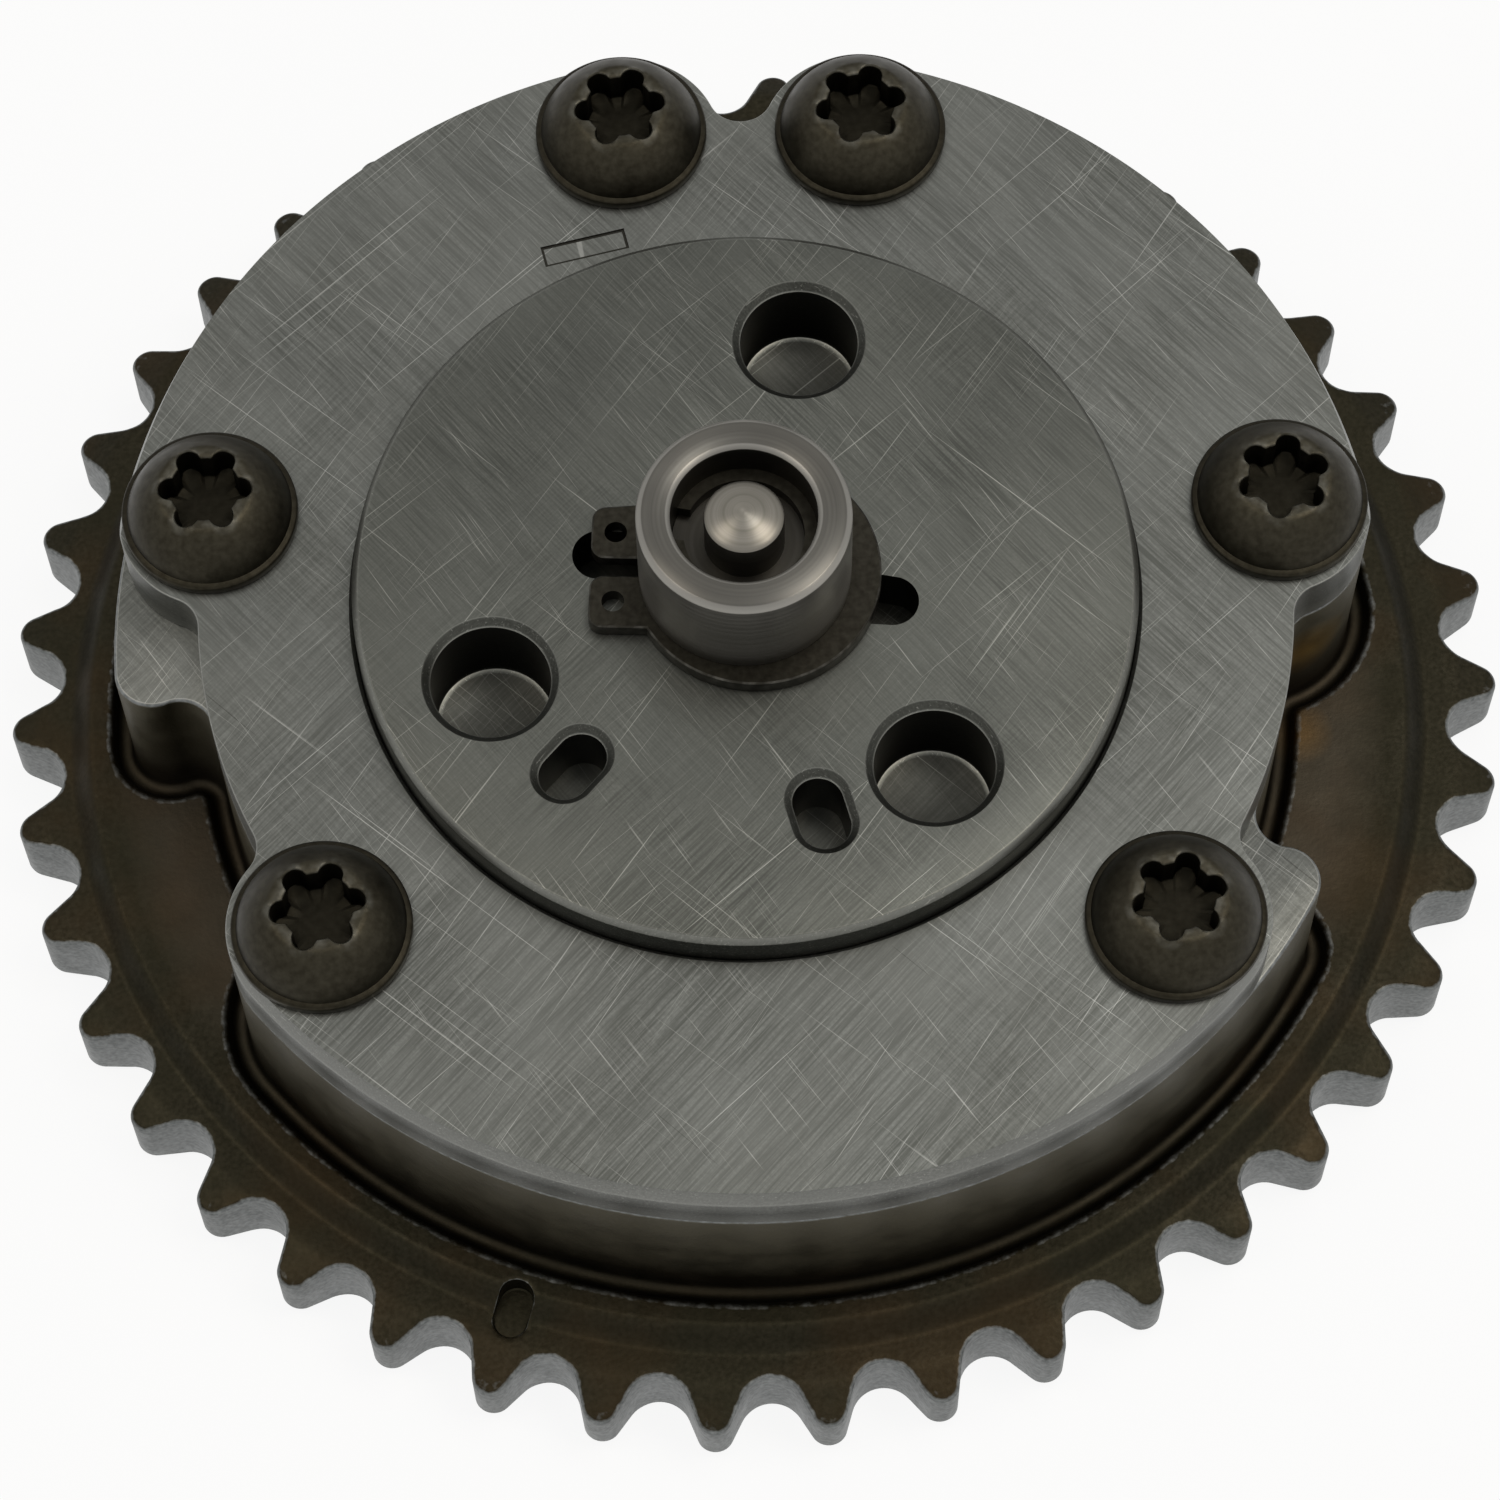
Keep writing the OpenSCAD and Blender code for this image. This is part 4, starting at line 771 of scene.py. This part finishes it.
def ground_steel(name, dark, mid, light, lays):
    """Ground steel over a whole piece, with a half gloss that changes a little in soft patches."""
    material, tree, shader, coords, wear_and_light_fac = finish(name, Metallic=1.0)
    colour, hatch = ground_colour(tree, coords, wear_and_light_fac, dark, mid, light, lays)
    roughness = patches(tree, coords, 8.0, (0.3, 0.7), (0.36, 0.46))
    connect(tree, shader, colour, roughness, hatch, 0.1, 0.02)
    return material


cover_steel = ground_steel("ground_steel_cover", "#484945", "#666763", "#9f9f9a", COVER_LAYS)
hub_steel = ground_steel("ground_steel_hub", "#40413d", "#595a55", "#96968f", HUB_LAYS)

# %% [markdown]
# The sprocket is sintered steel with a thin dark oxide from steam or heat. It is brown black and nearly dull,
# with a golden and an amber heat tint on the wall of the right notch. The flat ledge on the floor of the
# notches gets a painted paler sheen, the wall a painted light that grows with height, and the groove at its
# foot a painted shade, while the lip of the groove gets a painted highlight line. The tooth flanks and the
# edges are uncoated steel, polished by tools and handling, and the front face of the wall was ground together
# with the cover. A heat tint of the table is a place, a reach, a strength and a colour.

# %% Oxidised sintered steel
# The first radii give a painted paler sheen on the flat ledge, the first heights a painted light on the wall
# from 9 mm up; the last heights find the ground front face.
SHEEN_RADII, WALL_LIGHT_HEIGHTS, TOP_HEIGHTS = (47.4, 43.5), (9.0, 13.0), (20.86, 20.895)
HEAT_TINTS = [((40.9, 0.0, 14.5), 4.0, 0.6, "#8a6c33"), ((40.7, -3.5, 8.2), 2.6, 0.35, "#6b5028")]
TINT_CORE = 0.5


def sintered_steel(name):
    """Dark speckled oxide with heat tints, a painted sheen on the ledge by radius and a painted light on the
    wall by height; uncoated steel and a painted lip highlight where the mark is high, and painted shade below
    zero.
    """
    material, tree, shader, coords, wear_and_light_fac = finish(name, Metallic=1.0)
    grain = patches(tree, coords, 0.35, (0.3, 0.7), (0.0, 1.0), 2.0)
    cloud = patches(tree, coords, 7.0, (0.35, 0.65), (0.0, 0.6))
    radius, height = from_axis(tree, coords)
    # Masks: a painted sheen on the flat ledge by radius, a painted light on the wall by height, and the
    # ground front face.
    ledge_sheen, wall_light, face_up = (
        add(tree, "ShaderNodeMapRange", {"Value": value, "From Min": start * MM, "From Max": full * MM})
        for value, (start, full) in ((radius, SHEEN_RADII), (height, WALL_LIGHT_HEIGHTS), (height, TOP_HEIGHTS)))
    tints = []
    for place, reach, most, code in HEAT_TINTS:
        far = add(tree, "ShaderNodeVectorMath", {0: coords, 1: Vector(place) * MM}, "Value",
                  operation="DISTANCE")
        tints.append((add(tree, "ShaderNodeMapRange", {"Value": far, "From Min": reach * MM,
                                                       "From Max": TINT_CORE * MM, "To Max": most}), code))
    stain = patches(tree, coords, 9.0, (0.45, 0.65), (0.0, 0.2))
    speck = patches(tree, coords, 0.6, (0.2, 0.8), (-0.18, 0.18), 2.0)
    ragged = add(tree, "ShaderNodeMath", {0: wear_and_light_fac, 1: speck}, operation="ADD")
    # The mark past 0.4 shows uncoated steel on the tooth flanks and paints a highlight line on the lip of the
    # groove.
    uncoated_and_highlight = add(tree, "ShaderNodeMapRange", {"Value": ragged, "From Min": 0.4, "From Max": 0.8})
    # Below zero: a painted shade in the groove and at the foot of the wall.
    painted_shade = add(tree, "ShaderNodeMapRange", {"Value": wear_and_light_fac, "From Max": -1.0})
    steel = laid_over(tree, linear("#5e605f"), [(grain, "#7a7c7b")])
    ground = ground_colour(tree, coords, wear_and_light_fac, "#4c4d49", "#6a6b67", "#a3a39e", COVER_LAYS)[0]
    # 38332a is the painted sheen, #4b473a the painted wall light and #14120d the painted shade.
    colour = laid_over(tree, linear("#201e16"), [
        (grain, "#2c2920"), (cloud, "#232118"), (ledge_sheen, "#38332a"), (stain, "#3d2c1b"), (wall_light, "#4b473a"),
        *tints, (uncoated_and_highlight, steel), (painted_shade, "#14120d"), (face_up, ground)])
    roughness = patches(tree, coords, 2.5, (0.3, 0.7), (0.42, 0.54))
    connect(tree, shader, colour, roughness, grain, 0.25, 0.03)
    return material


oxide_steel = sintered_steel("oxidised_sintered_steel")

# %% [markdown]
# The screws are blackened steel. The coat is a soft black that rubs through to grey on the rim of the drive,
# and a painted shade darkens the recess and the foot of the dome. The clip and the stop ring are phosphated,
# which is the same kind of dark coat, a little darker.

# %% Blackened steel


def black_steel(name, dark, soft, rubbed, roughness, metallic=1.0):
    """Soft black with fine grain; grey flecks where the mark is above zero, and painted shade where it is
    below zero.
    """
    material, tree, shader, coords, wear_and_light_fac = finish(name, Metallic=metallic)
    grain = patches(tree, coords, 0.5, (0.3, 0.7), (0.0, 1.0), 2.0)
    fleck = patches(tree, coords, 0.9, (0.42, 0.72), (0.1, 0.8))
    rub = add(tree, "ShaderNodeMath", {0: wear_and_light_fac, 1: fleck}, operation="MULTIPLY", use_clamp=True)
    # Below zero the mark paints shade into the drive recess and the foot of the dome.
    painted_shade = add(tree, "ShaderNodeMapRange", {"Value": wear_and_light_fac, "From Max": -1.0})
    colour = laid_over(tree, linear(dark), [(grain, soft), (rub, rubbed), (painted_shade, "#0c0b08")])
    gloss = patches(tree, coords, 1.5, (0.3, 0.7), (roughness, roughness + 0.12))
    connect(tree, shader, colour, gloss, grain, 0.06, 0.02)
    return material


screw_black = black_steel("black_oxide_steel", "#2b2820", "#37342b", "#6c6b64", 0.4)
clip_black = black_steel("phosphated_spring_steel", "#22201b", "#2e2c26", "#6f6d67", 0.4)

# %% [markdown]
# Turned steel keeps the path of the tool as fine rings, so its gloss is drawn out across them. Anisotropy
# with a tangent around the axis, turned a quarter, gives the bow tie glints of a turned ring and the tall
# ones of its side.

# %% Turned steel


def turned_steel(name, dark, light, roughness, stretch):
    """Fine rings from a noise that only sees radius and height, under a gloss drawn out across the rings."""
    material, tree, shader, coords, wear_and_light_fac = finish(name, Metallic=1.0, Anisotropic=stretch,
                                                  Anisotropic_Rotation=0.25)
    radius, height = from_axis(tree, coords)
    both = add(tree, "ShaderNodeCombineXYZ", {"X": radius, "Y": height})
    ring = patches(tree, both, 0.25, (0.25, 0.75), (0.0, 0.8))
    cloud = patches(tree, coords, 4.0, (0.35, 0.65), (0.0, 0.4))
    # Above zero the mark lightens rubbed edges, and on the side of the sleeve it paints light.
    edge = add(tree, "ShaderNodeMapRange", {"Value": wear_and_light_fac, "To Max": 0.6})
    # Below zero the mark paints shade in the bore, in the clip groove and on the spool inside the sleeve.
    painted_shade = add(tree, "ShaderNodeMapRange", {"Value": wear_and_light_fac, "From Max": -1.0})
    colour = laid_over(tree, linear(dark), [(ring, light), (cloud, dark), (edge, "#cfccc4"),
                                            (painted_shade, "#171511")])
    gloss = patches(tree, both, 0.4, (0.3, 0.7), (roughness, roughness + 0.08))
    connect(tree, shader, colour, gloss, ring, 0.1, 0.01)
    tangent = add(tree, "ShaderNodeTangent", direction_type="RADIAL", axis="Z")
    tree.links.new(tangent, shader.inputs["Tangent"])
    return material


sleeve_steel = turned_steel("polished_turned_steel", "#3b3935", "#54524c", 0.28, 0.8)
spool_steel = turned_steel("satin_turned_steel", "#68655d", "#85817a", 0.3, 0.5)

# %% [markdown]
# Pieces inside the housing are seen only when the part is opened. Spring wire, balls, pins and seals still
# get their own finish, in the same way as the outer ones.

# %% Give every piece its finish
wire_steel = turned_steel("drawn_spring_steel", "#77766f", "#a3a29b", 0.3, 0.0)
ball_steel = turned_steel("polished_bearing_steel", "#b4b4b2", "#d2d2d0", 0.12, 0.0)
pin_steel = ground_steel("ground_hard_steel", "#7d7d79", "#a0a09b", "#cfcfca", PIN_LAYS)
seal_dark = black_steel("moulded_seal_polymer", "#2a2823", "#3a3831", "#4a4841", 0.5, 0.0)
slot_finish = {"sintered_steel": oxide_steel, "ground_steel": cover_steel, "black_oxide_steel": screw_black,
               "hard_steel": pin_steel, "seal_polymer": seal_dark, "spring_steel": wire_steel,
               "hub_steel": hub_steel, "polished_steel": sleeve_steel, "phosphated_spring_steel": clip_black,
               "satin_steel": spool_steel, "bearing_steel": ball_steel}


def dress(obj, material):
    """One material on the whole piece."""
    obj.data.materials.clear()
    obj.data.materials.append(material)


for sub in frame["record"]["subparts"]:
    dress(frame["nodes"][sub["node"]], slot_finish[sub["material_slot"]])
for obj, material in ((sprocket, oxide_steel), (front, cover_steel), (screws, screw_black),
                      (rotor, hub_steel), (sleeve, sleeve_steel), (spool, spool_steel), (clip, clip_black)):
    dress(obj, material)
print("finishes", len(slot_finish))

# %% [markdown]
# The part lies on a white sweep. The floor and the dome show white to the camera and to reflections, so the
# steel mirrors the same white that surrounds it, while the floor still takes a soft shadow from the lamps.
# Two soft boxes left and right give the paired glints on the valve, and a smaller one above brightens the
# lower right of the cover.

# %% Floor and light
FLOOR_HALF, FLOOR_Z = 4, -0.0004
FLOOR_GLOW, SKY_FILL = 0.9, 0.32
WHITE = (1, 1, 1, 1)


def shown(tree):
    """1 for rays from the camera, from mirrors and through clear things, and 0 for light that only fills."""
    light = add(tree, "ShaderNodeLightPath", None, "Is Camera Ray")
    mirrored = add(tree, "ShaderNodeMath", {0: light, 1: light.node.outputs["Is Glossy Ray"]}, use_clamp=True)
    clear = light.node.outputs["Is Transmission Ray"]
    return add(tree, "ShaderNodeMath", {0: mirrored, 1: clear}, use_clamp=True)


def soft_box(name, way, distance, width, power, code):
    """Square area lamp at a distance along a direction, turned to face the part."""
    data = bpy.data.lights.new(name, "AREA")
    data.shape, data.size, data.size_y, data.energy = "RECTANGLE", width, width, power
    data.color = linear(code)[:3]
    lamp = bpy.data.objects.new(name, data)
    bpy.context.scene.collection.objects.link(lamp)
    way = Vector(way).normalized()
    lamp.matrix_world = Matrix.Translation(way * distance) @ way.to_track_quat("Z", "Y").to_matrix().to_4x4()
    print(name, "faces the part from", [round(c, 2) for c in way])


floor_corners = [(x * FLOOR_HALF, y * FLOOR_HALF, FLOOR_Z) for x, y in ((-1, -1), (1, -1), (1, 1), (-1, 1))]
floor_mesh = bpy.data.meshes.new("floor")
floor_mesh.from_pydata(floor_corners, [], [(0, 1, 2, 3)])
floor = bpy.data.objects.new("floor", floor_mesh)
bpy.context.scene.collection.objects.link(floor)
paper = bpy.data.materials.new("white_paper")
paper.use_nodes = True
paper_tree = paper.node_tree
paper_shader = paper_tree.nodes["Principled BSDF"]
paper_shader.inputs["Base Color"].default_value = linear("#f2f2f0")
paper_shader.inputs["Roughness"].default_value = 0.9
glow = add(paper_tree, "ShaderNodeEmission", {"Color": WHITE, "Strength": 1.0})
share = add(paper_tree, "ShaderNodeMath", {0: shown(paper_tree), 1: FLOOR_GLOW}, operation="MULTIPLY")
surface = add(paper_tree, "ShaderNodeMixShader", {0: share, 1: paper_shader.outputs[0], 2: glow})
paper_tree.links.new(surface, paper_tree.nodes["Material Output"].inputs["Surface"])
dress(floor, paper)

world = bpy.data.worlds.new("studio")
bpy.context.scene.world = world
world.use_nodes = True
sky_tree = world.node_tree
sky = sky_tree.nodes["Background"]
strength = add(sky_tree, "ShaderNodeMapRange", {"Value": shown(sky_tree), "To Min": SKY_FILL, "To Max": 1.0})
sky_tree.links.new(strength, sky.inputs["Strength"])
sky.inputs["Color"].default_value = WHITE

soft_box("left_box", (-0.48, -0.06, 0.88), 0.9, 0.4, 1.5, "#fff6ea")
soft_box("right_box", (0.48, -0.06, 0.88), 0.9, 0.4, 2.5, "#fff6ea")
soft_box("top_box", (0.2, 0.22, 0.95), 1.0, 0.25, 0.9, "#ffffff")

# %% [markdown]
# The camera stands where the photographer stood: a long lens that looks down at the face, leaning towards its
# lower edge. Its frame is worked out from a target, a back direction, a distance and a small roll.

# %% Camera
LENS, SENSOR, NEAR_CUT = 123.46, 36.0, 0.01
TARGET, BACK = Vector((0.138, -3.711, 6.7)) * MM, Vector((0.00304, -0.40772, 0.9131)).normalized()
DISTANCE, ROLL = 380.9 * MM, math.radians(1.084)

level_right = Vector((0, 0, 1)).cross(BACK).normalized()
level_up = BACK.cross(level_right)
right = math.cos(ROLL) * level_right - math.sin(ROLL) * level_up
up = math.sin(ROLL) * level_right + math.cos(ROLL) * level_up
camera_data = bpy.data.cameras.new("camera")
camera_data.lens, camera_data.sensor_width, camera_data.clip_start = LENS, SENSOR, NEAR_CUT
camera = bpy.data.objects.new("camera", camera_data)
bpy.context.scene.collection.objects.link(camera)
camera_turn = Matrix((right, up, BACK)).transposed().to_4x4()
camera.matrix_world = Matrix.Translation(TARGET + BACK * DISTANCE) @ camera_turn
bpy.context.scene.camera = camera
bpy.context.scene.view_settings.view_transform = "Standard"
print("camera at", [round(v / MM, 1) for v in camera.matrix_world.translation])
